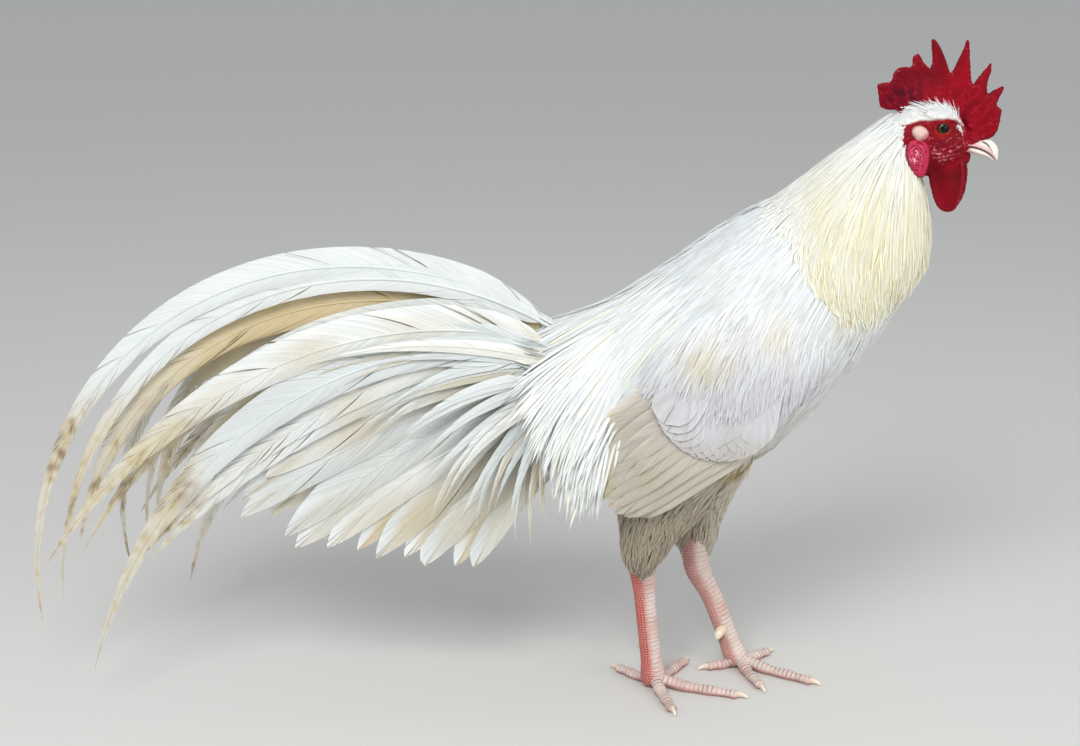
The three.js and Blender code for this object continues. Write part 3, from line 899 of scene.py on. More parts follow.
def feathersOn(surface, roots, name, style, seed, side):
    random = np.random.default_rng(seed)
    roots, lengths = featherLengths(roots, name, style, seed, random)
    path, up = combed(surface, roots, lengths, style, random)
    # left out are feathers that cross the bare face, curl up short or turn from the lie of the coat
    plain = turned(path, back=True)
    onFace = within(plain, bareFace) & (np.abs(plain[..., 1]) > 6)
    kept = (onFace.sum(1) < 2) & (np.linalg.norm(path[:, -1] - path[:, 0], axis=1) > 0.75 * lengths)
    ending = unit(path[:, -1] - path[:, -2])
    kept &= dots(ending, lieOfCoat(path[:, -1], style["guides"]))[:, 0] > (0.8 if name == "saddle" else 0.55)
    if name == "thigh":
        middle, low = thighEnd[side]
        low = low + 0.6 * np.maximum(np.abs(path[:, -1, 0] - middle) - 4, 0) + random.normal(0, 3, len(roots))
        kept &= path[:, -1, 2] > low
    roots, lengths, path, up, count = roots[kept], lengths[kept], path[kept], up[kept], int(kept.sum())
    path = liftedOff(path, up, style["depth"], random.uniform(*style["lift"], count), style["rise"])
    widths = random.uniform(*style["width"], count) * np.clip(lengths / style["length"][1], 0.6, 1) ** 0.3
    if name == "hackle":
        widths = widths * mixed(0.55, 1, ease(485, 415, roots[:, 2]))
    return stripPiece(f"{name}Feathers_{side}", path, up, widths, roots, style, random)


def feathersByStyle(surface, styles, seeds, keepFor):
    # roots scattered over each style's places, then a piece of feathers for each side
    rootSeed, featherSeed = seeds
    for order, (name, style) in enumerate(styles.items()):
        roots, normals = surface.scatter(style["spacing"], rootSeed + order, keepFor(name, style))
        if name == "flank":
            roots = roots[np.abs(normals[:, 1]) < flankFacing]
        for side, sign in sides.items():
            mine = roots[roots[:, 1] * sign > 0]
            feathersOn(surface, mine, name, style, featherSeed + order * 2 + (sign > 0), side)


def coatPlaces(name, style):
    def keep(places):
        # some rows of feathers also start above their own area
        area = areaOf(places)
        if name not in ("back", "breast", "thigh"):
            return area == name
        below = areaOf(places + lieOfCoat(places, style["guides"]) * startReach)
        return (area == name) | ((below == name) & (area != "flank"))

    return keep


def addCoat():
    feathersByStyle(coatSurface, coatStyles, (100, 200), coatPlaces)


def lockRings(shaft, ahead, side, face, width, style, random, sign):
    # one half of a vane, as locks of barbs that leave the shaft side by side and bend to the tip
    reach = np.concatenate([[0], np.cumsum(np.linalg.norm(np.diff(shaft, axis=0), axis=1))])
    total = reach[-1]
    v = np.linspace(0, 1, style["rows"])
    edges = [style["quill"] * total]
    while edges[-1] < total * 0.985:
        edges.append(edges[-1] + random.uniform(*style["lock"]))
    edges = np.minimum(edges, total)
    low, high = edges[:-1], edges[1:]
    count = len(low)
    centre = (low + high) / 2
    torn = random.random(count) < style["fray"](centre / total)
    gap = np.abs(random.normal(0.0, 0.006, count)) + torn * random.uniform(0.2, 0.8, count)
    stretch = random.normal(1, 0.006, count) * (1 - torn * random.uniform(0, 0.2, count))
    droop = random.normal(0, 0.006, count) * (1 + 5 * torn)
    blown = random.normal(0, 0.008, count) * (1 + 9 * torn)

    def along(values, s):
        return np.stack([np.interp(s, reach, values[:, k]) for k in range(3)], -1)

    def half(t):
        return width / 2 * style["outline"](t)

    lean, sweep = style["lean"], style["sweep"]
    squeeze = 1 - np.clip(gap, 0, 0.95)[:, None] * v**1.6
    share = (lean * v + sweep * v**2) / (lean + sweep)
    rings = []
    for edge, height in ((low, 0.0), (centre, 1.0), (high, 0.0), (centre, -1.0)):
        s = centre[:, None] + (edge - centre)[:, None] * squeeze
        forward = np.minimum((lean + sweep) * half(s / total), (total - s) * 0.999)
        out = half(np.clip((s + forward) / total, 0, 1)) * stretch[:, None] * v
        rise = out * (droop[:, None] - style["cup"] * v + blown[:, None] * v)
        rise = rise + height * style["thick"] * (1 - 0.4 * v)
        base = along(shaft, s) + along(ahead, s) * (forward * share)[..., None]
        rings.append(base + along(side, s) * (sign * out)[..., None] + along(face, s) * rise[..., None])
    return np.stack(rings, 2).reshape(count, len(v) * 4, 3), low, high, v


def vaneFeather(shaft, face, width, style, random, tint):
    # a whole feather, shaft and two half vanes, as the parts of one mesh
    ahead = unit(np.gradient(shaft, axis=0))
    face = unit(face - ahead * dots(face, ahead))
    side = unit(np.cross(ahead, face))
    total = np.sum(np.linalg.norm(np.diff(shaft, axis=0), axis=1))
    quillRadii = mixed(style["shaft"], 0.25, np.linspace(0, 1, len(shaft)))
    rodPoints, rodFaces = tube(shaft + face * 0.3, quillRadii, around=6, up=(0.1, 1, 0.05))
    t = np.concatenate([np.repeat(np.linspace(0, 1, len(shaft)), 6), [0, 1]])
    parts = [(rodPoints, rodFaces, tint(rodPoints, t, t * 0, 0.5) * 0.97, np.column_stack([t, t * 0]))]
    chance = random.random()
    for sign in (1, -1):
        points, low, high, v = lockRings(shaft, ahead, side, face, width, style, random, sign)
        count, size = points.shape[:2]
        offset = np.arange(count)[:, None, None] * size
        order = np.arange(4)
        lockFaces = ringFaces(len(v), 4), np.stack([order[::-1], order + size - 4])
        faceSets = [(faces[None] + offset).reshape(-1, 4)[:, ::sign] for faces in lockFaces]
        s = np.stack([low, (low + high) / 2, high, (low + high) / 2], -1)
        u = np.repeat(s[:, None, :], len(v), 1).reshape(count, size)
        out = np.broadcast_to(np.repeat(v, 4), (count, size))
        lockChance = np.clip(chance + random.normal(0, 0.18, count), 0, 1)[:, None]
        upper = sign * np.sign(side[:, 2].sum())
        colours = tint(points, u / total, out * upper, np.broadcast_to(lockChance, (count, size)))
        uv = np.stack([u * 0.1, out], -1)
        parts.append((points.reshape(-1, 3), faceSets, colours.reshape(-1, 3), uv.reshape(-1, 2)))
    return parts


def joinFaces(faceSets):
    # face arrays of three and four corners, as one array of each
    groups = ([faces for faces in faceSets if faces.shape[1] == corners] for corners in (4, 3))
    return [np.vstack(group) for group in groups if group]


def joinParts(name, feathers, finish):
    # many feathers, each a list of parts, become one mesh with its bake map in rows
    points, faceSets, colours, barbs, bake, start = [], [], [], [], [], 0
    for index, parts in enumerate(feathers):
        for row, (p, faces, paint, uv) in enumerate(parts):
            points.append(p)
            faceSets += [f + start for f in faces]
            colours.append(paint)
            barbs.append(uv)
            level = (index * 3 + row + 0.1 + 0.8 * uv[:, 1]) / (len(feathers) * 3)
            bake.append(np.column_stack([uv[:, 0] / max(uv[:, 0].max(), 1e-6), level]))
            start += len(p)
    maps = {"barbs": np.vstack(barbs), "OFBake": np.clip(np.vstack(bake), 0.001, 0.999)}
    points, faceSets, colours = np.vstack(points), joinFaces(faceSets), np.vstack(colours)
    return makePiece(name, points, faceSets, finish, colours, maps, featherEdge)


# How a vane is built: rows of points out from the shaft, the bare share of the quill, how wide its locks are,
# how far the barbs lean and sweep to the tip, how the vane cups, its thickness, the shaft's radius, how far
# it rolls from upright, its outline at t along it, and the share of locks that are torn there.
sickleStyle = {
    "rows": 6, "quill": 0.04, "lock": (2.0, 5), "lean": 1.5, "sweep": 1.3, "cup": 0.1, "thick": 0.16,
    "shaft": 1.3, "roll": 0.28,
    "outline": lambda t: ease(0, 0.16, t + 0.02) * (1 - 0.82 * ease(0.3, 1, t) ** 1.2) * (1 - t**14),
    "fray": lambda t: 0.04 + 0.4 * ease(0.45, 0.9, t),
}
mainTailStyle = sickleStyle | {
    "roll": 0.16,
    "outline": lambda t: ease(-0.05, 0.3, t) * np.clip(1 - t**5, 0, 1) ** 0.75,
    "fray": lambda t: 0.03 + 0.6 * ease(0.75, 1, t),
}
lesserStyle = sickleStyle | {"rows": 4, "lock": (2.5, 6), "shaft": 0.9}

# each plume: rise, turn and power of its sweep, length, width, root (x, z), layer out from the midline, tint
sickles = [
    (34, 134, 1.08, 648, 27, (-112, 311), 1, "white"),
    (34, 126, 1.02, 590, 22, (-112, 308), 2, "white"),
    (28, 108, 1.13, 515, 52, (-112, 297), 0, "gold"),
    (26, 83, 0.70, 505, 34, (-112, 300), 8, "pale"),
    (11, 87, 0.91, 522, 34, (-112, 302), 9, "white"),
    (7, 55, 0.60, 405, 32, (-112, 300), 7, "pale"),
    (27, 88, 0.74, 470, 34, (-118, 301), 4.2, "tan"),
    (10, 57, 0.54, 397, 26, (-118, 304), 7.6, "pale"),
]
tailFeathers = [
    (-4, 38, 1.2, 322, 40, (-112, 296), 6, "pale"),
    (-2, 34, 1.3, 306, 36, (-118, 300), 6.8, "pale"),
    (-8, 30, 1.1, 292, 42, (-112, 284), 5, "beige"),
    (-18, 26, 1.1, 264, 44, (-110, 264), 4, "pale"),
    (-33, 22, 1.0, 176, 42, (-104, 240), 3, "beige"),
    (-9, 27, 1.1, 262, 36, (-118, 290), 5.8, "beige"),
    (-12, 27, 1.1, 292, 38, (-118, 281), 5.2, "pale"),
    (-17, 26, 1.1, 262, 38, (-118, 270), 4.7, "pale"),
    (-22, 25, 1.1, 232, 38, (-118, 261), 4.2, "pale"),
    (-28, 24, 1.0, 200, 36, (-116, 251), 3.8, "beige"),
    (-36, 23, 1.0, 170, 34, (-114, 241), 3.2, "pale"),
    (-46, 22, 1.0, 138, 32, (-112, 230), 2.6, "pale"),
    (-13, 27, 1.1, 276, 34, (-114, 276), 2.0, "tan"),
    (-20, 25, 1.1, 246, 34, (-112, 266), 3.5, "tan"),
    (-25, 24, 1.1, 216, 34, (-112, 257), 3.2, "tan"),
    (-31, 23, 1.0, 184, 34, (-110, 247), 2.9, "beige"),
    (-41, 22, 1.0, 154, 32, (-108, 236), 2.3, "tan"),
]
# the many narrow plumes over the tail's root, from the topmost to the lowest
lesser = {
    "count": 40, "rise": (16, -64), "length": (196, 100), "width": (12.5, 7), "layer": (8, 12),
    "roots": [(-112, 301), (-116, 258)],
}
# how far out the first layer lies, the room each layer takes, and how the fan opens below its top
tailSpread = {"first": 4.5, "layer": 2.9, "top": 315, "opening": 0.12}
leftTail = {"lower": 2, "length": 0.88}  # the left side's plumes hang lower, by degrees, and are shorter
plumeScale = 0.985
plumeStep = 6  # between a shaft's points


def plumePath(rise, turn, power, length, root, layer, sign, count):
    t = np.linspace(0, 1, count)
    heading = np.radians(rise - turn * t**power)
    step = length / (count - 1)
    x = root[0] + np.concatenate([[0], np.cumsum(-np.cos(heading[:-1]) * step)])
    z = root[1] + np.concatenate([[0], np.cumsum(np.sin(heading[:-1]) * step)])
    out = tailSpread["first"] + tailSpread["layer"] * layer
    out = out + np.maximum(tailSpread["top"] - z, 0) * tailSpread["opening"]
    return np.column_stack([x, sign * out * ease(-0.12, 0.1, t), z])


warmth = {"pale": 0.3, "beige": 0.5, "tan": 0.7}  # how much of a vane's inner part is tan


def tintPlume(kind):
    def tint(points, t, out, chance):
        t, chance = np.broadcast_arrays(t, np.asarray(chance, float))
        colour = shaded("plume", "white", (0.7 if kind in warmth else 0.3) * chance)
        if kind == "gold":
            colour = shaded(colour, "gold", 0.9 - 0.6 * ease(0.5, 0.9, t) - 0.2 * chance)
        if kind in warmth:
            inner = 1 - ease(0.4, 0.95, out)
            colour = shaded(colour, "tan", inner * (warmth[kind] + 0.35 * cloud(points, 40, 7)))
        trailing = ease(-385, -440, points[..., 0]) * ease(285, 225, points[..., 2])
        worn = np.maximum(ease(0.75, 1, t) * 0.4, trailing) * (0.7 + 0.4 * chance)
        blots = 0.8 * cloud(points, 26, 11) + 0.8 * cloud(points, 5, 12)
        colour = shaded(colour, "tan", worn * (0.6 + 0.5 * ease(-0.5, 0.5, blots)))
        return shaded(colour, "stain", worn * ease(0.05, 0.9, blots) * 0.95)

    return tint


def lesserPlumes(random):
    # narrow plumes that fan out over the root of the tail
    plumes = []
    for share in np.linspace(0, 1, lesser["count"]):
        rise, length, width = (mixed(*lesser[key], share) for key in ("rise", "length", "width"))
        root = tuple(mixed(*np.array(lesser["roots"], float), share) + random.normal(0, 2, 2))
        turn, power = random.uniform(22, 48), random.uniform(0.9, 1.4)
        length = length * random.uniform(0.85, 1.12)
        layer = random.uniform(*lesser["layer"])
        kind = random.choice(["white", "pale", "beige", "white"])
        plumes.append((rise + random.normal(0, 7), turn, power, length, width, root, layer, kind))
    return plumes


def addTail():
    random = np.random.default_rng(41)
    for side, sign in sides.items():
        groups = {
            "sicklePlumes": (sickles, sickleStyle, "sickle", 6),
            "mainTailFeathers": (tailFeathers, mainTailStyle, "tail_feather", 4),
            "lesserPlumes": (lesserPlumes(random), lesserStyle, None, 0),
        }
        for name, (plumes, style, node, count) in groups.items():
            feathers = []
            for rise, turn, power, length, width, root, layer, kind in plumes:
                if side == "left":
                    rise, length = rise - leftTail["lower"], length * leftTail["length"]
                length = length * plumeScale
                shaft = plumePath(rise, turn, power, length, root, layer, sign, int(length / plumeStep))
                face = np.tile([0, sign, style["roll"]], (len(shaft), 1))
                feathers.append(vaneFeather(shaft, face, width, style, random, tintPlume(kind)))
            piece = joinParts(f"{name}_{side}", feathers, finishes["vane"])
            if node:
                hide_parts(*[f"{node}_{side}_{i + 1}" for i in range(count)])


def quillStyle(blunt):
    # the stiff quills of the wing; the higher blunt is, the squarer the tip
    return {
        "rows": 6, "quill": 0.0, "lock": (2.5, 5), "lean": 1.4, "sweep": 0.9, "cup": 0.02, "thick": 0.14,
        "shaft": 0.9, "fray": lambda t: 0.02 * t,
        "outline": lambda t: ease(-0.3, 0.3, t) * np.clip(1 - t**blunt, 0, 1) ** 0.7,
    }


# each row of quills: where they start and end, inner to outer, how they bow, and how high they lie
wingQuills = {
    "secondaries": {
        "count": 9, "width": (34, 27), "roll": 2.4, "bow": 5, "height": (0.4, -0.3), "kind": "beige",
        "style": quillStyle(blunt=5),
        "starts": [(-22, 290), (2, 283), (26, 276), (50, 268), (72, 262)],
        "tips": [(-80, 229), (-83, 216), (-83, 204), (-81, 193), (-76, 183), (-68, 176), (-56, 173)],
    },
    "greaterCoverts": {
        "count": 13, "width": (36, 32), "roll": 1.3, "bow": 2, "height": (0.45, 0.3), "kind": "lilacShade",
        "style": quillStyle(blunt=9),
        "starts": [(-12, 302), (14, 292), (42, 294)],
        "tips": [(-32, 256), (-24, 241), (-9, 229), (10, 226), (28, 230), (40, 240)],
    },
}
quillPoints = 20  # along each shaft
quillRoot = 2.0  # how deep a quill's root sinks


def tintQuill(kind):
    def tint(points, t, out, chance):
        t, chance = np.broadcast_arrays(t, np.asarray(chance, float))
        x, z = points[..., 0], points[..., 2]
        if kind == "lilacShade":
            # painted shade: the coverts are painted the lilac grey of white feathers in shade, and darkened
            # overall
            colour = shaded("lilacShade", "quill", 0.1 * chance + 0.35 * ease(-0.3, 0.6, cloud(points, 18, 3)))
            return shaded(colour, "quill", 0.7 * ease(252, 226, z)) * 0.92
        pale = 0.4 * chance + 0.3 * ease(0.2, 0.9, out) + 0.4 * ease(205, 225, z)
        colour = shaded("quill", "beige", pale)
        colour = shaded(colour, "tan", ease(-0.2, 0.8, cloud(points, 25, 6)) * 0.4 * ease(240, 200, z))
        colour = shaded(colour, "tan", 0.6 * ease(-68, -84, x))
        return shaded(colour, "stain", 0.2 * ease(0.85, 1, -out))

    return tint


def quillShaft(start, tip, sign, quills, height):
    # a bowed line from start to tip in side view, laid over the coat, with the way its upper face looks
    way = unit(tip - start)
    middle = (start + tip) / 2 + np.array([way[1], -way[0]]) * quills["bow"]
    flat = smoothCurve([start, middle, tip], quillPoints)
    guess = np.column_stack([flat[:, 0], np.full(quillPoints, sign * 75.0), flat[:, 1]])
    for _ in range(3):
        place, face = coatSurface.nearest(guess)
        guess = np.column_stack([flat[:, 0], place[:, 1], flat[:, 1]])
    face = unit(face * [0.4, 1, 0.6])
    for _ in range(4):
        face[1:-1] = (face[:-2] + face[1:-1] + face[2:]) / 3
    face = unit(face - np.array([0.8, 0, -0.6]) * math.tan(math.radians(quills["roll"])))
    sunk = quillRoot * ease(0.5, 0, np.linspace(0, 1, quillPoints))[:, None]
    return guess + face * (height - sunk), face


def addWings():
    random = np.random.default_rng(61)
    for side, sign in sides.items():
        feathers = []
        for quills in wingQuills.values():
            count, style, tint = quills["count"], quills["style"], tintQuill(quills["kind"])
            starts, tips = (smoothCurve(quills[key], count) for key in ("starts", "tips"))
            for start, tip, share in zip(starts, tips, np.linspace(0, 1, count)):
                shaft, face = quillShaft(start, tip, sign, quills, mixed(*quills["height"], share))
                feathers.append(vaneFeather(shaft, face, mixed(*quills["width"], share), style, random, tint))
        joinParts(f"wingQuills_{side}", feathers, finishes["vane"])


headTurn = {"pivot": 150.0, "degrees": -6.0}


def turned(points, back=False):
    angle = math.radians(headTurn["degrees"]) * (-1 if back else 1)
    x, y, z = points[..., 0] - headTurn["pivot"], points[..., 1], points[..., 2]
    across = x * math.cos(angle) - y * math.sin(angle)
    return np.stack([across + headTurn["pivot"], x * math.sin(angle) + y * math.cos(angle), z], -1)


# the bare skull's top and bottom line (x, z) and its half width (x, y)
skull = {
    "top": [
        (126, 470), (144, 486), (158, 493), (171, 497), (184, 496), (194, 488), (203, 474.5), (211, 470.5),
        (217, 467),
    ],
    "bottom": [
        (126, 420), (150, 441), (161, 440), (170, 439), (180, 441), (190, 445), (197, 449), (203, 452),
        (217, 463),
    ],
    "half": [
        (126, 16), (144, 17.5), (158, 19), (171, 18.2), (184, 16), (194, 13), (203, 9.8), (209, 7.4),
        (217, 4.5),
    ],
}
combOutline = [
    (154, 490), (138, 491), (133.6, 494.5), (132.4, 502), (131, 509.5), (138, 511), (142, 513.5),
    (143, 519), (148, 523), (154, 523), (157, 525), (157, 531), (160.5, 533), (165, 527), (170.5, 522),
    (172, 529), (170.5, 543.5), (173.5, 543), (177, 538), (182, 528), (186, 519), (190, 526), (194.5, 537),
    (196.2, 543.6), (198, 543), (200, 525), (203, 510.5), (208, 517), (213, 523), (216, 527), (216, 520),
    (214, 512), (215, 503.5), (220, 506), (227, 509), (224.5, 502), (222.5, 495.5), (226.5, 491),
    (226, 486), (225.6, 480), (224, 474.5), (220.5, 470.3), (214.5, 468.5), (207, 470), (199, 482),
    (190, 489), (176, 492), (164, 489),
]
wattleOutline = [
    (172.5, 450), (173.5, 440), (176, 430), (180, 419), (186, 412.5), (193, 412.5), (197.5, 418),
    (200, 425), (201, 433), (201, 444), (199, 454), (196, 462), (182, 462), (174, 458),
]
lobeOutline = [
    (154.5, 468), (153.4, 460.6), (155, 452), (159, 445), (165, 440.4), (169, 441), (171.2, 445.5),
    (172.6, 453), (172, 462), (169.5, 467.4), (164, 470.6), (157.6, 470.5),
]
bareFace = [
    (154.6, 479), (154.9, 484), (163.3, 485.6), (171.6, 485), (184.3, 486.4), (191.5, 485), (195.5, 480),
    (199.5, 475.5), (230, 470), (230, 430), (200, 405), (176, 418), (171, 437), (167, 438.4), (158, 444),
    (153.7, 452), (152.3, 460.6), (153.4, 470),
]
earPatch = {"centre": (163.8, 475.2), "radii": (6.7, 5.2), "tilt": -28.0}
faceFolds = [
    [(174, 462.6), (177, 461.6), (183.4, 463.0), (188.6, 465.4), (193.7, 468.6), (198, 471)],
    [(175, 459.6), (179, 458.8), (185, 460.6), (191, 462.4), (196, 465)],
    [(175, 456), (178.6, 455.5), (186, 457.6), (194.4, 459.2), (200, 461)],
    [(176, 452.4), (178.7, 452.5), (184, 453.8), (190.4, 455), (197, 457)],
    [(177, 449.6), (182, 450.2), (188, 451.4)],
    [(174, 467.5), (178, 466.6), (184, 468.4), (189, 471.6)],
    [(197, 478), (202, 472.5), (206, 469)],
]
eyePlace = (181.0, 11.6, 478.8)
# rods as start, end and radius, and the cheek as centre and radii
headParts = {
    "neck": [(158, 0, 463), (140, 0, 424), 18],
    "jaw": [(200, 0, 454), (176, 0, 446), 6],
    "cheek": [(184, 10.5, 463), (13, 6, 9)],
    "brow": [(170, 14.6, 489), (193, 11.2, 485), 2.4],
}
faceSettings = {
    "low": (126, -27, 400), "high": (234, 27, 552), "voxel": 0.62,  # the grid that holds the head
    "boxy": 2.3, "socket": 7.0, "wave": 1.5, "combRoot": 4.6, "combTip": 1.4,
    "combRim": 3.5, "wattleRim": 2.2, "lobeRim": 7, "lobeThick": 4.4,
}
# among these tones, the lighter comb tone and the glint are painted highlights, the fold tone is painted
# shade in creases, and the plum tone is painted shade on the comb's rear blade
headTones = {
    "crimson": linear(0.52, 0.0, 0.08), "deep": linear(0.36, 0.0, 0.045), "plum": linear(0.27, 0.0, 0.08),
    "highlight": linear(0.74, 0.10, 0.21), "fold": linear(0.30, 0.0, 0.03), "dull": linear(0.50, 0.06, 0.12),
    "glint": linear(0.86, 0.53, 0.58), "lid": linear(0.70, 0.20, 0.06), "browSkin": linear(0.80, 0.56, 0.56),
    "lobe": linear(0.46, 0.03, 0.12), "lobeRidge": linear(0.74, 0.24, 0.36),
    "lobeRim": linear(0.70, 0.18, 0.29), "lobeShine": linear(0.95, 0.84, 0.87),
    "patch": linear(0.79, 0.69, 0.645), "patchPink": linear(0.74, 0.46, 0.48),
    "patchRim": linear(0.72, 0.50, 0.48),
}


def united(a, b, blend):
    # smooth union of two distance fields
    h = np.clip(0.5 + 0.5 * (b - a) / blend, 0, 1)
    return mixed(b, a, h) - blend * h * (1 - h)


def rod(x, y, z, start, end, radius):
    # distance to a straight rod with round ends
    places, step = (x - start[0], y - start[1], z - start[2]), np.subtract(end, start)
    t = np.clip(sum(p * s for p, s in zip(places, step)) / (step @ step), 0, 1)
    return np.sqrt(sum((p - t * s) ** 2 for p, s in zip(places, step))) - radius


def egg(x, y, z, centre, radii):
    q = np.sqrt(sum(((p - c) / r) ** 2 for p, c, r in zip((x, y, z), centre, radii)))
    return (q - 1) * min(radii)


def leaf(inside, offset, half, rim):
    # a flat lobe: inside is the depth within its outline, half its half thickness, rim its edge radius
    bulge = half * np.sqrt(1 - (1 - np.clip(inside / rim, 0, 1)) ** 2)
    return np.where(inside > 0, np.abs(offset) - bulge, np.hypot(np.minimum(inside, 0), offset))


def skullSection(x):
    # half width, half height and middle height of the bare skull at x
    top = np.interp(x, *zip(*skull["top"]))
    bottom = np.interp(x, *zip(*skull["bottom"]))
    return np.interp(x, *zip(*skull["half"])), (top - bottom) / 2, (top + bottom) / 2


def rounded(outline):
    # a closed outline with its corners eased
    closed = outline[-1:] + outline + outline[:2]
    curve = smoothCurve(closed, len(outline) * 4 + 9)[4:-4]
    return [tuple(point) for point in curve.tolist()]


def headField(x, y, z):
    # distance to the head's skin, from solids that run softly into each other
    side = np.abs(y)
    gridX, gridZ = np.meshgrid(x[:, 0, 0], z[0, 0], indexing="ij")

    def depth(outline, ahead=0, lower=0):
        # how far within a side-view outline each place lies
        return -outlineDistance(gridX - ahead, gridZ + lower, rounded(outline))[:, None, :]

    half, tall, middle = skullSection(x)
    boxy = faceSettings["boxy"]
    q = (side / half) ** boxy + (np.abs(z - middle) / tall) ** boxy
    field = (q ** (1 / boxy) - 1) * np.minimum(half, tall)
    field = np.maximum(field, (x - 200 - 1.5 * np.clip(z - 460.5, 0, 9)) * 0.6)  # room for the beak
    field = united(field, rod(x, side, z, *headParts["neck"]), 6)
    field = united(field, rod(x, side, z, *headParts["jaw"]), 4)
    field = united(field, egg(x, side, z, *headParts["cheek"]), 4)
    field = united(field, rod(x, side, z, *headParts["brow"]), 3)
    # eye sockets, with a lid round each that is thicker above
    ex, ey, ez = eyePlace
    fromEye = np.sqrt((x - ex) ** 2 + (side - ey) ** 2 + (z - ez) ** 2)
    field = np.maximum(field, faceSettings["socket"] - fromEye)
    ring = (np.sqrt(((x - ex) / 6.0) ** 2 + ((z - ez) / 5.3) ** 2) - 1) * 5.6
    lid = np.hypot(ring, side - 16.5 + 0.1 * (x - ex)) - 1.15 - 0.35 * ease(ez, ez + 4, z)
    field = united(field, lid, 1.0)
    # comb
    wave = faceSettings["wave"] * np.sin((x - 150) / 11) * ease(495, 520, z)
    thick = mixed(faceSettings["combTip"], faceSettings["combRoot"], ease(532, 488, z) ** 1.5)
    thick = thick * mixed(0.7, 1, ease(145, 165, x))
    field = united(field, leaf(0.5 + depth(combOutline), y - wave, thick, faceSettings["combRim"]), 4)
    # wattles: the left one hangs a little further forward
    inside = np.where(y < 0, depth(wattleOutline), depth(wattleOutline, ahead=4.5, lower=1.5))
    hang = 8.4 + 1.8 * ease(450, 415, z) + 0.7 * np.sin(x / 4 + z / 9)
    thick = 2.3 + 0.9 * np.exp(-((inside - 2) ** 2) / 3)
    field = united(field, leaf(inside, side - hang, thick, faceSettings["wattleRim"]), 2.5)
    # ear lobes, with the pale bare patch above each
    offset = side - (19.6 - 0.3 * (x - 160))
    lobe = leaf(depth(lobeOutline), offset, faceSettings["lobeThick"], faceSettings["lobeRim"])
    field = united(field, lobe, 0.8)
    return united(field, (np.sqrt(patchReach(x, z) + ((side - 18.4) / 4.2) ** 2) - 1) * 4.2, 1.2)


def patchReach(x, z):
    # squared distance from the pale bare patch's middle, 1 at its edge
    angle = math.radians(earPatch["tilt"])
    dx, dz = x - earPatch["centre"][0], z - earPatch["centre"][1]
    long = (dx * math.cos(angle) + dz * math.sin(angle)) / earPatch["radii"][0]
    high = (dz * math.cos(angle) - dx * math.sin(angle)) / earPatch["radii"][1]
    return long**2 + high**2


def patchShare(points):
    return ease(1.1, 0.9, patchReach(points[..., 0], points[..., 2])) * (np.abs(points[..., 1]) > 15)


def lobeShare(points):
    inside = -outlineDistance(points[..., 0], points[..., 2], rounded(lobeOutline))
    return ease(-0.8, 0.6, inside) * (np.abs(points[..., 1]) > 15) * (1 - patchShare(points))


def tinged(colour, tone, share):
    return mixed(colour, tone, share[..., None])


def headGrid():
    # the head's skin as quads, from its distance field
    voxel = faceSettings["voxel"]
    low, high = np.array(faceSettings["low"], float), np.array(faceSettings["high"], float)
    counts = ((high - low) / voxel).astype(int)
    axes = [low[k] + voxel * np.arange(counts[k]) for k in range(3)]
    field = headField(*np.meshgrid(*axes, indexing="ij")).astype(np.float32)
    for k in range(3):
        edge = np.moveaxis(field, k, 0)
        edge[0] = edge[-1] = 1.0
    volume = openvdb.FloatGrid()
    volume.background = 1.0
    volume.copyFromArray(field / np.float32(voxel))
    points, quads = volume.convertToQuads(0.0)
    return points.astype(float) * voxel + low, quads.astype(int)[:, ::-1]


def paintLobe(px, pz, brain, middle, fine):
    # an ear lobe: pale curls that shine, in a deep red rim
    tone = tinged(headTones["lobe"], headTones["lobeRidge"], ease(-0.9, 0.5, brain))
    tone = tinged(tone, headTones["lobeRim"], ease(0.85, 1.1, middle))
    shine = ease(-0.2, 0.6, brain) * ease(0.8, 0.2, middle) * ease(-0.2, 0.5, fine)
    tone = tinged(tone, headTones["lobeShine"], shine)
    rim = ease(1.6, 0.2, -outlineDistance(px, pz, rounded(lobeOutline)))
    return tinged(tone, headTones["deep"], rim * 0.8)


def paintPatch(px, pz, grain):
    # the bare patch over the lobe: pale, with a pinker lower part and rim
    pinker = ease(473, 469, pz - 0.7 * (px - 163) + 1.5 * grain)
    tone = tinged(headTones["patch"], headTones["patchPink"], pinker)
    return tinged(tone, headTones["patchRim"], ease(0.55, 1, patchReach(px, pz)) * 0.7)


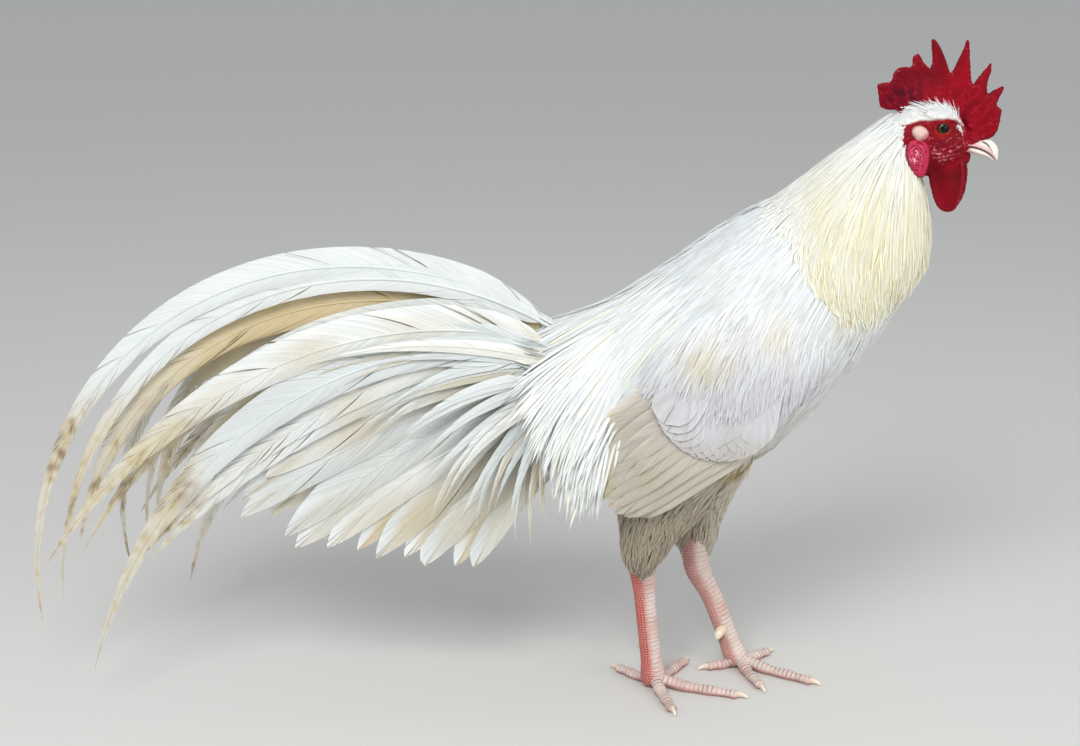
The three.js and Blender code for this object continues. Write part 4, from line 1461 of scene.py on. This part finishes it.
def addHeadSkin():
    points, quads = headGrid()
    normals = pointNormals(points, quads)
    px, pz = points[:, 0], points[:, 2]
    side = np.abs(points[:, 1])
    # where each part of the head is
    inComb, inWattle = (-outlineDistance(px, pz, outline) for outline in (combOutline, wattleOutline))
    onComb = ease(0, 3, inComb) * (side < 7)
    onWattle = ease(0, 3, inWattle) * ease(456, 448, pz)
    onLobe, onPatch = lobeShare(points), patchShare(points)
    onLid = ease(8.6, 6.5, np.hypot(px - eyePlace[0], pz - eyePlace[2])) * (side > 13)
    face = (1 - onComb) * (1 - onWattle) * (1 - onLobe) * (1 - onPatch)
    # relief: papillae, folds below the eye, ribs of the comb, pleats of the wattles, curls of the lobes
    fine, grain = cloud(points, 1.5, 21), cloud(points, 3.1, 22)
    foldGap = np.min([routeDistance(px, pz, route) for route in faceFolds], axis=0)
    broken = ease(-0.45, 0.25, cloud(points, 2.6, 23))
    onFold = np.exp(-((foldGap / 0.75) ** 2)) * (side > 7) * face * broken
    trough = np.exp(-(((foldGap - 1.6) / 0.6) ** 2)) * (side > 7) * face * ease(474, 468, pz)
    pleats = np.sin(pz * 2 * math.pi / 1.9 + 2.5 * cloud(points, 8, 24))
    ribs = np.sin(np.arctan2(pz - 446, px - 176) * 46 + 3 * cloud(points, 11, 29))
    ribs = ribs * onComb * ease(528, 505, pz)
    middle = np.hypot((px - 161.6) / 8.6, (pz - 457.2) / 12.5)
    curl = middle * 3.6 + 1.3 * cloud(points, 4.6, 25) + 0.8 * cloud(points, 2.3, 27)
    brain = np.sin(curl * 2 * math.pi) * ease(1.1, 0.85, middle) * ease(-0.7, 0.1, cloud(points, 2.8, 33))
    radial = np.sin(np.arctan2(pz - eyePlace[2], px - eyePlace[0]) * 24 + cloud(points, 3, 26)) * onLid
    shift = onComb * (fine * 0.22 * ease(540, 495, pz) + grain * 0.2 + ribs * 0.13)
    shift = shift + onWattle * (fine * 0.1 + pleats * 0.1) + onLobe * (brain * 0.4 + fine * 0.25)
    shift = shift + face * (fine * 0.3 + grain * 0.2 - trough * 0.3) + onFold * 0.55 + radial * 0.14
    points = points + normals * shift[:, None]
    # colour
    deeper = np.clip(0.4 + 0.5 * cloud(points, 9, 28) + onWattle * 0.3, 0, 1)
    colour = tinged(headTones["crimson"], headTones["deep"], deeper)
    # painted shade: the comb's rear blade is painted a darker purple
    rear = onComb * ease(172, 158, px) * ease(528, 516, pz)
    colour = tinged(colour, headTones["plum"], rear * (0.6 + 0.4 * cloud(points, 6, 30)))
    # painted highlights: light spots on the comb's papillae near its base and along its ribs, and a lighter
    # line along each wattle's front edge
    highlight = onComb * (ease(0.3, 0.85, fine) * ease(530, 495, pz) * 0.5 + ease(0.4, 1, ribs) * 0.22)
    rim = onWattle * ease(3.2, 1.2, inWattle) * ease(192, 199, px)
    colour = tinged(colour, headTones["highlight"], highlight * 0.6 + rim * 0.5)
    # painted shade: darker red in the troughs beside the folds and in the low spots of the face's relief
    colour = tinged(colour, headTones["fold"], face * (trough * 0.8 + ease(0.2, -0.6, grain) * 0.4))
    colour = tinged(colour, headTones["dull"], face * 0.35)
    glint = onFold * ease(-0.3, 0.5, fine) * ease(206, 184, px) + face * ease(0.5, 0.9, fine) * 0.35
    colour = tinged(colour, headTones["glint"], np.clip(glint * 0.75, 0, 1))
    colour = tinged(colour, paintLobe(px, pz, brain, middle, fine), onLobe)
    colour = tinged(colour, paintPatch(px, pz, grain), onPatch)
    colour = tinged(colour, headTones["lid"], onLid * 0.4 * ease(482, 474, pz))
    # down under the feathers of the neck and the brow
    nearComb = (inComb > -2.5) & (pz > 488.5) & (side < 6)
    colour = tinged(colour, palette["down"], ease(152, 146, px) * (1 - nearComb))
    onBrow = ease(-1.5, 1, -outlineDistance(px, pz, headStyles["browHair"]["area"])) * (side > 4)
    colour = tinged(colour, tinged(palette["down"], headTones["browSkin"], ease(182, 194, px)), onBrow)
    calm = turned(points - normals * shift[:, None])  # the head's feathers lie on the skin without its relief
    skin = makePiece("headSkin", turned(points), [quads], finishes["skin"], colour)
    parts = ["head", "comb"] + [f"{part}_{name}" for part in ("wattle", "ear_lobe") for name in sides]
    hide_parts(*parts)
    return Surface(calm, quads)


eyeSettings = {
    "radius": 6.7, "cornea": 0.5, "pupil": 0.50, "forward": 0.2, "up": -0.02, "rings": 40, "around": 64,
    "iris": linear(0.20, 0.17, 0.11), "fleck": linear(0.33, 0.28, 0.18), "rim": linear(0.36, 0.22, 0.12),
    "dark": linear(0.02, 0.015, 0.012),
}


def addEyes():
    rings, around = eyeSettings["rings"], eyeSettings["around"]
    polar = np.linspace(0.02, math.pi - 0.02, rings)
    angle = np.linspace(0, 2 * math.pi, around, endpoint=False)
    for name, sign in sides.items():
        axis = unit(np.array([eyeSettings["forward"], sign, eyeSettings["up"]]))
        first = unit(np.cross(axis, [0, 0, 1]))
        second = np.cross(axis, first)
        radius = eyeSettings["radius"] + eyeSettings["cornea"] * np.exp(-((polar / 0.6) ** 2))
        ring = first * np.cos(angle)[:, None] + second * np.sin(angle)[:, None]
        points = (axis * np.cos(polar)[:, None])[:, None] + ring[None] * np.sin(polar)[:, None, None]
        points = points * radius[:, None, None] + np.array(eyePlace) * [1, sign, 1]
        spokes = cloud(np.stack([np.cos(angle) * 9, np.sin(angle) * 9, angle * 0], -1), 1.0, 31)
        p = polar[:, None] * np.ones(around)
        colour = tinged(eyeSettings["iris"], eyeSettings["fleck"], 0.5 + 0.5 * spokes * ease(0.3, 0.5, p))
        colour = tinged(colour, eyeSettings["rim"], ease(0.5, 0.7, p) * 0.5)
        edge = eyeSettings["pupil"]
        dark = np.maximum(ease(edge + 0.03, edge - 0.03, p), ease(0.66, 0.78, p) * 0.85)
        colour = tinged(colour, eyeSettings["dark"], dark).reshape(-1, 3)
        points, faces = turned(points.reshape(-1, 3)), lidFaces(rings, around)
        eye = makePiece(f"eye_{name}_ball", points, faces, finishes["eye"], colour)
        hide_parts(f"eye_{name}")


# stations of the upper and lower beak: top (x, z), bottom (x, z) and half width
upperBeak = [
    (195, 467.2, 195, 465.2, 10.6), (200, 467.8, 200, 464.9, 11), (207, 468.4, 206.5, 463.7, 9.3),
    (213, 468.3, 212.4, 461.7, 7.1), (218.6, 468.6, 217.6, 459, 5.2), (223.2, 465.8, 221.6, 456.1, 3.7),
    (226.6, 460.6, 224.6, 453.3, 2.2), (227, 454, 226.2, 451, 0.7),
]
lowerBeak = [
    (195, 465.6, 195, 459.6, 9.6), (200, 465.6, 200, 458.6, 9.8), (206, 464.6, 206, 457.2, 8.5),
    (212, 462.4, 212, 455.8, 6.6), (217.6, 459.2, 217.6, 454.5, 4.6), (223.4, 454.6, 223.4, 451.8, 1.6),
]
beakSettings = {
    "rings": 80, "around": 64,
    "pink": linear(0.81, 0.68, 0.655), "paleHornAndSheen": linear(0.87, 0.84, 0.80), "base": linear(0.70, 0.36, 0.36),
    "groove": linear(0.34, 0.27, 0.27), "nostril": linear(0.07, 0.03, 0.035), "lip": linear(0.12, 0.06, 0.06),
}


def addBeak():
    rings, around = beakSettings["rings"], beakSettings["around"]
    angle = np.linspace(0, 2 * math.pi, around, endpoint=False)
    across = np.sign(np.cos(angle)) * np.abs(np.cos(angle)) ** 0.9
    rise = np.sin(angle)
    t = np.linspace(0, 1, rings)[:, None]
    for name, stations in (("upper", upperBeak), ("lower", lowerBeak)):
        upper = name == "upper"
        line = smoothCurve(stations, rings)
        if upper:
            height = np.where(rise > 0, np.abs(rise) ** 0.85, -0.12 * np.abs(rise))
        else:
            height = np.minimum(rise * 0.5 + 0.5, 0.86)
        height = height[None] * np.ones((rings, 1))
        x = mixed(line[:, 2:3], line[:, 0:1], height)
        z = mixed(line[:, 3:4], line[:, 1:2], height)
        y = line[:, 4:5] * across[None] * (1 - 0.12 * height)
        points = np.stack([x, y, z], -1)
        # a groove runs back along the upper half and opens into the nostril; the groove, the nostril and the
        # edges along the mouth are painted dark as painted shade
        level = 0.76 - (t - 0.46) * 2.0
        groove = np.exp(-(((height - level) / 0.07) ** 2)) * ease(0.42, 0.47, t) * ease(0.76, 0.68, t) * upper
        nostril = groove * ease(0.66, 0.58, t)
        lip = ease(0.1, 0.03, height) if upper else ease(0.66, 0.8, height)
        points[..., 1] -= np.sign(points[..., 1]) * (groove * 0.4 + nostril * 0.8)
        # paler toward the top ridge and the tip: partly the horn's own paler colour, partly a painted
        # highlight
        colour = tinged(beakSettings["pink"], beakSettings["paleHornAndSheen"], ease(0.4, 0.75, height + 0.4 * t))
        base = ease(0.55, 0.15, t) * (0.7 + 0.3 * np.sin(height * 22)) * (0.75 if upper else 1)
        colour = tinged(colour, beakSettings["base"], np.clip(base, 0, 1))
        colour = tinged(colour, beakSettings["groove"], groove * 0.8)
        colour = tinged(colour, beakSettings["nostril"], nostril)
        colour = tinged(colour, beakSettings["lip"], lip * ease(1, 0.7, t) * 0.9).reshape(-1, 3)
        points, faces = turned(points.reshape(-1, 3)), lidFaces(rings, around)
        beak = makePiece(f"beak_{name}_horn", points, faces, finishes["beak"], colour)
        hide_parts(f"beak_{name}")


headStyles = {
    "browHair": {
        "spacing": 1.1, "length": (11, 19), "width": (0.9, 1.5), "steps": 5, "dome": 0.14,
        "depth": 0.3, "lift": (0.0, 0.5), "rise": 0.6, "stray": 4, "bend": 6, "twist": 8, "tint": tintBrow,
        "slot": "hackle_feathers",
        "area": [
            (146, 494), (166, 494), (177, 496), (184, 495), (190.5, 490), (195, 484), (197.5, 479.5),
            (195.5, 481), (191.9, 485), (184.3, 486.6), (171.6, 485.2), (163, 485), (154.7, 482),
            (146, 484),
        ],
        "guides": [
            (201, 475, 112), (195, 485, 122), (187, 490, 134), (177, 491, 148), (166, 489, 164),
            (156, 486, 184), (148, 484, 200),
        ],
    },
    "napeHair": {
        "spacing": 1.4, "length": (14, 30), "width": (1.1, 2.0), "steps": 7, "dome": 0.14,
        "depth": 0.3, "lift": (0.0, 0.6), "rise": 0.4, "stray": 3, "bend": 6, "twist": 8, "tint": tintHackle,
        "freeFrom": 0.8, "sag": 0.1, "finish": "hackle", "slot": "hackle_feathers",
        "area": [
            (118, 410), (118, 520), (152, 500), (156, 486), (152, 478), (150.5, 462), (152.5, 448),
            (158, 441), (166, 437), (174, 424), (168, 410),
        ],
        "guides": [
            (152, 492, -165), (140, 488, -152), (128, 478, -142), (152, 480, -128), (148, 470, -112),
            (149, 458, -98), (153, 447, -80), (159, 438, -66), (166, 430, -72), (168, 418, -84),
            (140, 440, -108), (130, 460, -125),
        ],
    },
}
headStyles = {name: restingFeather | style for name, style in headStyles.items()}

# the bristles that stand up from the brow over the comb's side: roots (x, z, heading) along the brow
brow = restingFeather | {
    "line": [
        (168, 489, 162), (178, 491, 150), (186, 489.5, 138), (192, 485, 128), (196, 480, 120),
        (198.5, 476, 114),
    ],
    "count": 84, "length": (9, 20), "width": (0.55, 1.0), "steps": 7, "dome": 0.1,
    "twist": 10, "slot": "hackle_feathers", "tint": tintBrow,
}


def addBrowBristles(surface):
    for side, sign in sides.items():
        random = np.random.default_rng(330 + sign)
        count, steps = brow["count"], brow["steps"]
        line = smoothCurve(brow["line"], count)
        roots = np.column_stack([line[:, 0], np.full(count, sign * 15.0), line[:, 1]])
        roots[:, [0, 2]] += random.normal(0, 1.3, (count, 2))
        roots, _ = surface.nearest(turned(roots))
        heading = np.radians(line[:, 2] + random.normal(0, 7, count))
        lengths = random.uniform(*brow["length"], count)
        t = np.linspace(0, 1, steps + 1)[None]
        turn = heading[:, None] + np.radians(random.normal(6, 8, count))[:, None] * t
        path = np.zeros((count, steps + 1, 3))
        path[..., 0] = roots[:, :1] + np.cos(turn) * lengths[:, None] * t
        path[..., 2] = roots[:, 2:] + np.sin(turn) * lengths[:, None] * t
        middle = turned(path * [1, 0, 1])[..., 1]
        clear = 5.6 + random.uniform(0, 2.5, count)[:, None]
        near = sign * (roots[:, 1:2] - middle[:, :1]) + 0.5
        path[..., 1] = middle + sign * mixed(near, np.minimum(clear, near), ease(0, 0.75, t))
        up = np.broadcast_to(unit(np.array([0.0, sign, 0.35])), path.shape)
        widths = random.uniform(*brow["width"], count)
        stripPiece(f"browBristles_{side}", path, up, widths, roots, brow, random)


def headPlaces(name, style):
    return lambda places: within(turned(places, back=True), style["area"]) & (np.abs(places[:, 1]) > 5)


def addHeadFeathers(surface):
    feathersByStyle(surface, headStyles, (300, 310), headPlaces)


toes = ("middle", "inner", "outer", "hind")
# each leg: its hock (x, y, z), the middle of its foot and its toes' ends (x, y), and the tone of its rear
legs = {
    "right": {
        "rear": "red", "hock": (-49, -21, 118), "foot": (-35, -19),
        "middle": (42, -43), "inner": (-1, 29), "outer": (-21, -74), "hind": (-71, 15),
    },
    "left": {
        "rear": "salmon", "hock": (1, 21, 104), "foot": (41, 19),
        "middle": (107, -20), "inner": (58, -33), "outer": (76, 46), "hind": (5, 9),
    },
}
legSettings = {
    "shankDepth": 18.0, "shankFlat": 1.28, "toeRadius": 5.6, "toeTip": 3.8, "toeFlat": 0.9, "step": 0.45,
    "scute": 3.9, "scale": (2.1, 2.3), "claw": 9, "clawRadius": 2.5, "spurRadius": 4.0,
}
# each claw curves down: points (ahead of the toe's skin, z)
clawBend = [(-3, 3.1), (0.5, 3.9), (4, 4.0), (7.2, 3.1), (9.4, 1.2)]
# a spur points inward: points (behind, inward, z)
spurBend = [(2, 4, 38), (5, 7, 36.8), (7, 9.5, 34.6), (9, 12, 31)]
floorGap = 0.05  # skin and claws stay this far above the ground
skinTones = {
    "scute": linear(0.80, 0.735, 0.70), "salmon": linear(0.76, 0.585, 0.555), "red": linear(0.79, 0.50, 0.46),
    "groove": linear(0.34, 0.29, 0.28),
    "redScale": linear(0.56, 0.13, 0.10), "salmonScale": linear(0.62, 0.42, 0.39),
}


def scaledTube(points, radii, flat, front, around, reach, rear):
    # a tube with plates down its front and small round scales behind, and its points' colours
    ahead = unit(np.gradient(points, axis=0))
    side = unit(np.cross(ahead, front))
    top = unit(np.cross(side, ahead))
    angle = np.linspace(0, 2 * math.pi, around, endpoint=False)
    cos, sin = np.cos(angle)[None], np.sin(angle)[None]
    onShank = radii.max() > 6.5
    plates = ease(-0.4, 0.3, sin)
    s = reach[:, None]
    row = s / legSettings["scute"] + 0.5 * (cos > 0.0) * onShank + 0.16 * cloud(points, 11, 53)[:, None]
    step = row - np.floor(row)
    line = np.exp(-((step / 0.12) ** 2)) + np.exp(-(((1 - step) / 0.08) ** 2))
    plate = 0.2 * step**0.7 - 0.28 * line
    seam = np.exp(-((cos / 0.10) ** 2)) * onShank
    wide, tall = legSettings["scale"]
    a = np.cos(math.pi * (angle[None] * radii[:, None]) / wide) * np.cos(math.pi * s / tall)
    small = 0.22 * np.sqrt(np.abs(a)) - 0.1
    relief = plates * (plate - 0.25 * seam) + (1 - plates) * small
    size = radii[:, None] + relief
    ring = side[:, None] * (cos * size)[..., None] + top[:, None] * (sin * size * flat)[..., None]
    rings = points[:, None] + ring
    groove = plates * np.clip(line + 0.4 * seam, 0, 1) * (0.3 + 0.7 * ease(-0.3, 0.4, cloud(rings, 9, 52)))
    tone = tinged(skinTones[rear], skinTones["scute"], np.broadcast_to(plates, relief.shape))
    blush = np.clip(0.6 * cloud(rings, 14, 51) + 0.1, 0, 1)
    if onShank:
        blush = np.maximum(blush, 0.8 * ease(18, 0, reach)[:, None])
    tone = tinged(tone, skinTones["salmon"], blush)
    between = (1 - plates) * ease(0.6, 0.15, np.abs(a))
    tone = tinged(tone, skinTones[f"{rear}Scale"], between * 0.85)
    tone = tinged(tone, skinTones["groove"], groove * (0.5 if onShank else 0.95))
    ends = np.array([points[0], points[-1] + ahead[-1] * radii[-1] * 0.3])
    colours = np.vstack([tone.reshape(-1, 3), tone[0, :1], tone[-1, :1]])
    return np.vstack([rings.reshape(-1, 3), ends]), tubeFaces(len(points), around), colours


def evenWalk(route, step):
    # evenly spaced points along a smooth route, and how far along it each one is
    dense = smoothCurve(route, 400)
    reach = np.concatenate([[0], np.cumsum(np.linalg.norm(np.diff(dense, axis=0), axis=1))])
    s = np.arange(0, reach[-1], step)
    return np.column_stack([np.interp(s, reach, dense[:, k]) for k in range(3)]), s


def toeLine(leg, toe):
    # where a toe starts, which way it points, and how far its skin reaches
    start, tip = np.array(leg["foot"], float), np.array(leg[toe], float)
    length = np.hypot(*(tip - start))
    return start, (tip - start) / length, length - legSettings["claw"]


def shankTube(leg):
    hx, hy, hz = leg["hock"]
    fx, fy = leg["foot"]
    route = [(hx + 2, hy + 6, hz + 40), (hx - 1, hy + 4, hz + 14), (hx + 2.5, hy, hz - 12)]
    route += [(mixed(fx, hx, 0.6), mixed(fy, hy, 0.6), hz * 0.62), (mixed(fx, hx, 0.14), fy, 18), (fx, fy, 5)]
    points, s = evenWalk(route, legSettings["step"])
    z = points[:, 2]
    # thicker at the hock and the foot, and thin where it ends inside the thigh
    radii = legSettings["shankDepth"] / 2 * 0.76
    radii = radii + 1.9 * np.exp(-(((z - hz + 8) / 15) ** 2)) + 1.2 * np.exp(-(((z - 12) / 10) ** 2))
    radii = radii * mixed(0.5, 1, ease(hz + 34, hz + 12, z))
    return scaledTube(points, radii, legSettings["shankFlat"], [1.0, 0, 0.25], 72, s, leg["rear"])


def toeTube(leg, toe):
    start, way, reach = toeLine(leg, toe)

    def thick(share):
        return mixed(legSettings["toeRadius"], legSettings["toeTip"], share)

    route = [(*(start + way * 0.5), 14 if toe == "hind" else 9)]
    route += [(*(start + way * reach * share), thick(share) * 0.86) for share in (0.4, 0.72, 1)]
    points, s = evenWalk(route, legSettings["step"])
    share = s / s[-1]
    knuckles = 0.35 * np.cos(share * 2 * math.pi * 3) * ease(0, 0.2, share)
    radii = thick(share) * 0.98 + knuckles
    return scaledTube(points, radii, legSettings["toeFlat"], [0.0, 0, 1], 44, s, "salmon")


def addLegs():
    for side, leg in legs.items():
        points, faceSets, colours, start = [], [], [], 0
        for p, faces, paint in [shankTube(leg)] + [toeTube(leg, toe) for toe in toes]:
            p[:, 2] = np.maximum(p[:, 2], floorGap)
            points.append(p)
            colours.append(paint)
            faceSets += [f + start for f in faces]
            start += len(p)
        points, faceSets, colours = np.vstack(points), joinFaces(faceSets), np.vstack(colours)
        skin = makePiece(f"legSkin_{side}", points, faceSets, finishes["scale"], colours)
        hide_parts(f"shank_{side}", *[f"toe_{side}_{toe}" for toe in toes])
        addClaws(side, leg)


def addClaws(side, leg):
    routes = {}
    for toe in toes:
        start, way, reach = toeLine(leg, toe)
        routes[f"claw_{side}_{toe}"] = [(*(start + way * (reach + ahead)), z) for ahead, z in clawBend]
    x, y = (mixed(foot, hock, 0.3) for foot, hock in zip(leg["foot"], leg["hock"]))
    routes[f"spur_{side}"] = [(x - behind, y - sides[side] * inward, z) for behind, inward, z in spurBend]
    for node, route in routes.items():
        points, s = evenWalk(route, 0.5)
        share = s / s[-1]
        if "spur" in node:
            radii = legSettings["spurRadius"] * (1 - share**3) ** 0.6 + 0.2
        else:
            radii = legSettings["clawRadius"] * (1 - share) ** 0.6 + 0.3
        rings, faces = tube(points, radii, around=24, flat=1.15)
        rings[:, 2] = np.maximum(rings[:, 2], floorGap)
        t = np.concatenate([np.repeat(share, 24), [0, 1]])
        colours = mixed(linear(0.80, 0.70, 0.60), linear(0.90, 0.86, 0.78), t[:, None])
        claw = makePiece(node + "_horn", rings, faces, finishes["claw"], colours)
        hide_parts(node)


def addBodySkin():
    # the skin under the feathers, painted like the feathers that grow on it
    points, quads = bodyShape([name for name in coatedNodes if "saddle" not in name], 8)
    points = points - pointNormals(points, quads) * coatSettings["inset"]
    areas = areaOf(points)
    colours = np.tile(palette["white"], (len(points), 1))
    for name, style in coatStyles.items():
        here = areas == name
        middle = np.full(here.sum(), 0.5)
        colours[here] = style["tint"](points[here], middle, middle)
    maps = {"barbs": points[:, [0, 2]] * 0.1}
    skin = makePiece("bodySkin", points, [quads], finishes["body"], colours, maps)
    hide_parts(*coatedNodes)


viewSettings = {
    "place": (-132.69, -1333.09, 682.35), "tilt": 73.0, "lens": 56.67,
    "floor": linear(0.80, 0.795, 0.78), "floorReach": 40,
    "sky": linear(0.965, 0.98, 1.0), "skyStrength": 0.64,
    # each lamp's place and size in metres, and its power
    "lamps": {"key": ((-0.4, -1.6, 1.9), 1.0, 39), "fill": ((1.5, -1.5, 1.0), 1.6, 18)},
    "aim": (0, 0, 0.28),
}


def addStage():
    scene = bpy.context.scene
    settings = viewSettings
    camera = bpy.data.objects.new("sideView", bpy.data.cameras.new("sideView"))
    camera.data.lens = settings["lens"]
    camera.data.sensor_width = 36
    camera.data.clip_end = 200
    camera.location = toFrame(settings["place"])
    camera.rotation_euler = (math.radians(settings["tilt"]), 0, 0)
    scene.collection.objects.link(camera)
    scene.camera = camera
    floorMesh = bpy.data.meshes.new("floor")
    reach = settings["floorReach"]
    corners = [(-reach, -reach, 0), (reach, -reach, 0), (reach, reach, 0), (-reach, reach, 0)]
    floorMesh.from_pydata(corners, [], [(0, 1, 2, 3)])
    floor = bpy.data.objects.new("floor", floorMesh)
    scene.collection.objects.link(floor)
    material, wire = startMaterial("paleFloor")
    closeMaterial(wire, {"Base Color": (*settings["floor"], 1), "Roughness": 0.9})
    floorMesh.materials.append(material)
    for name, (place, size, power) in settings["lamps"].items():
        light = bpy.data.lights.new(name, "AREA")
        light.size = size
        light.energy = power
        lamp = bpy.data.objects.new(name, light)
        lamp.location = place
        lamp.rotation_euler = (Vector(settings["aim"]) - Vector(place)).to_track_quat("-Z", "Y").to_euler()
        scene.collection.objects.link(lamp)
    world = bpy.data.worlds.new("softSky")
    world.use_nodes = True
    background = world.node_tree.nodes["Background"]
    background.inputs["Color"].default_value = (*settings["sky"], 1)
    background.inputs["Strength"].default_value = settings["skyStrength"]
    scene.world = world
    scene.view_settings.view_transform = "Standard"


addStage()
print("stage, light and camera are set")
addBodySkin()
print("body skin is made")
addCoat()
print("body feathers are laid")
headSurface = addHeadSkin()
addEyes()
addBeak()
addHeadFeathers(headSurface)
addBrowBristles(headSurface)
print("head is made")
addLegs()
print("legs are made")
addTail()
print("tail is made")
addWings()
print("wing quills are made")
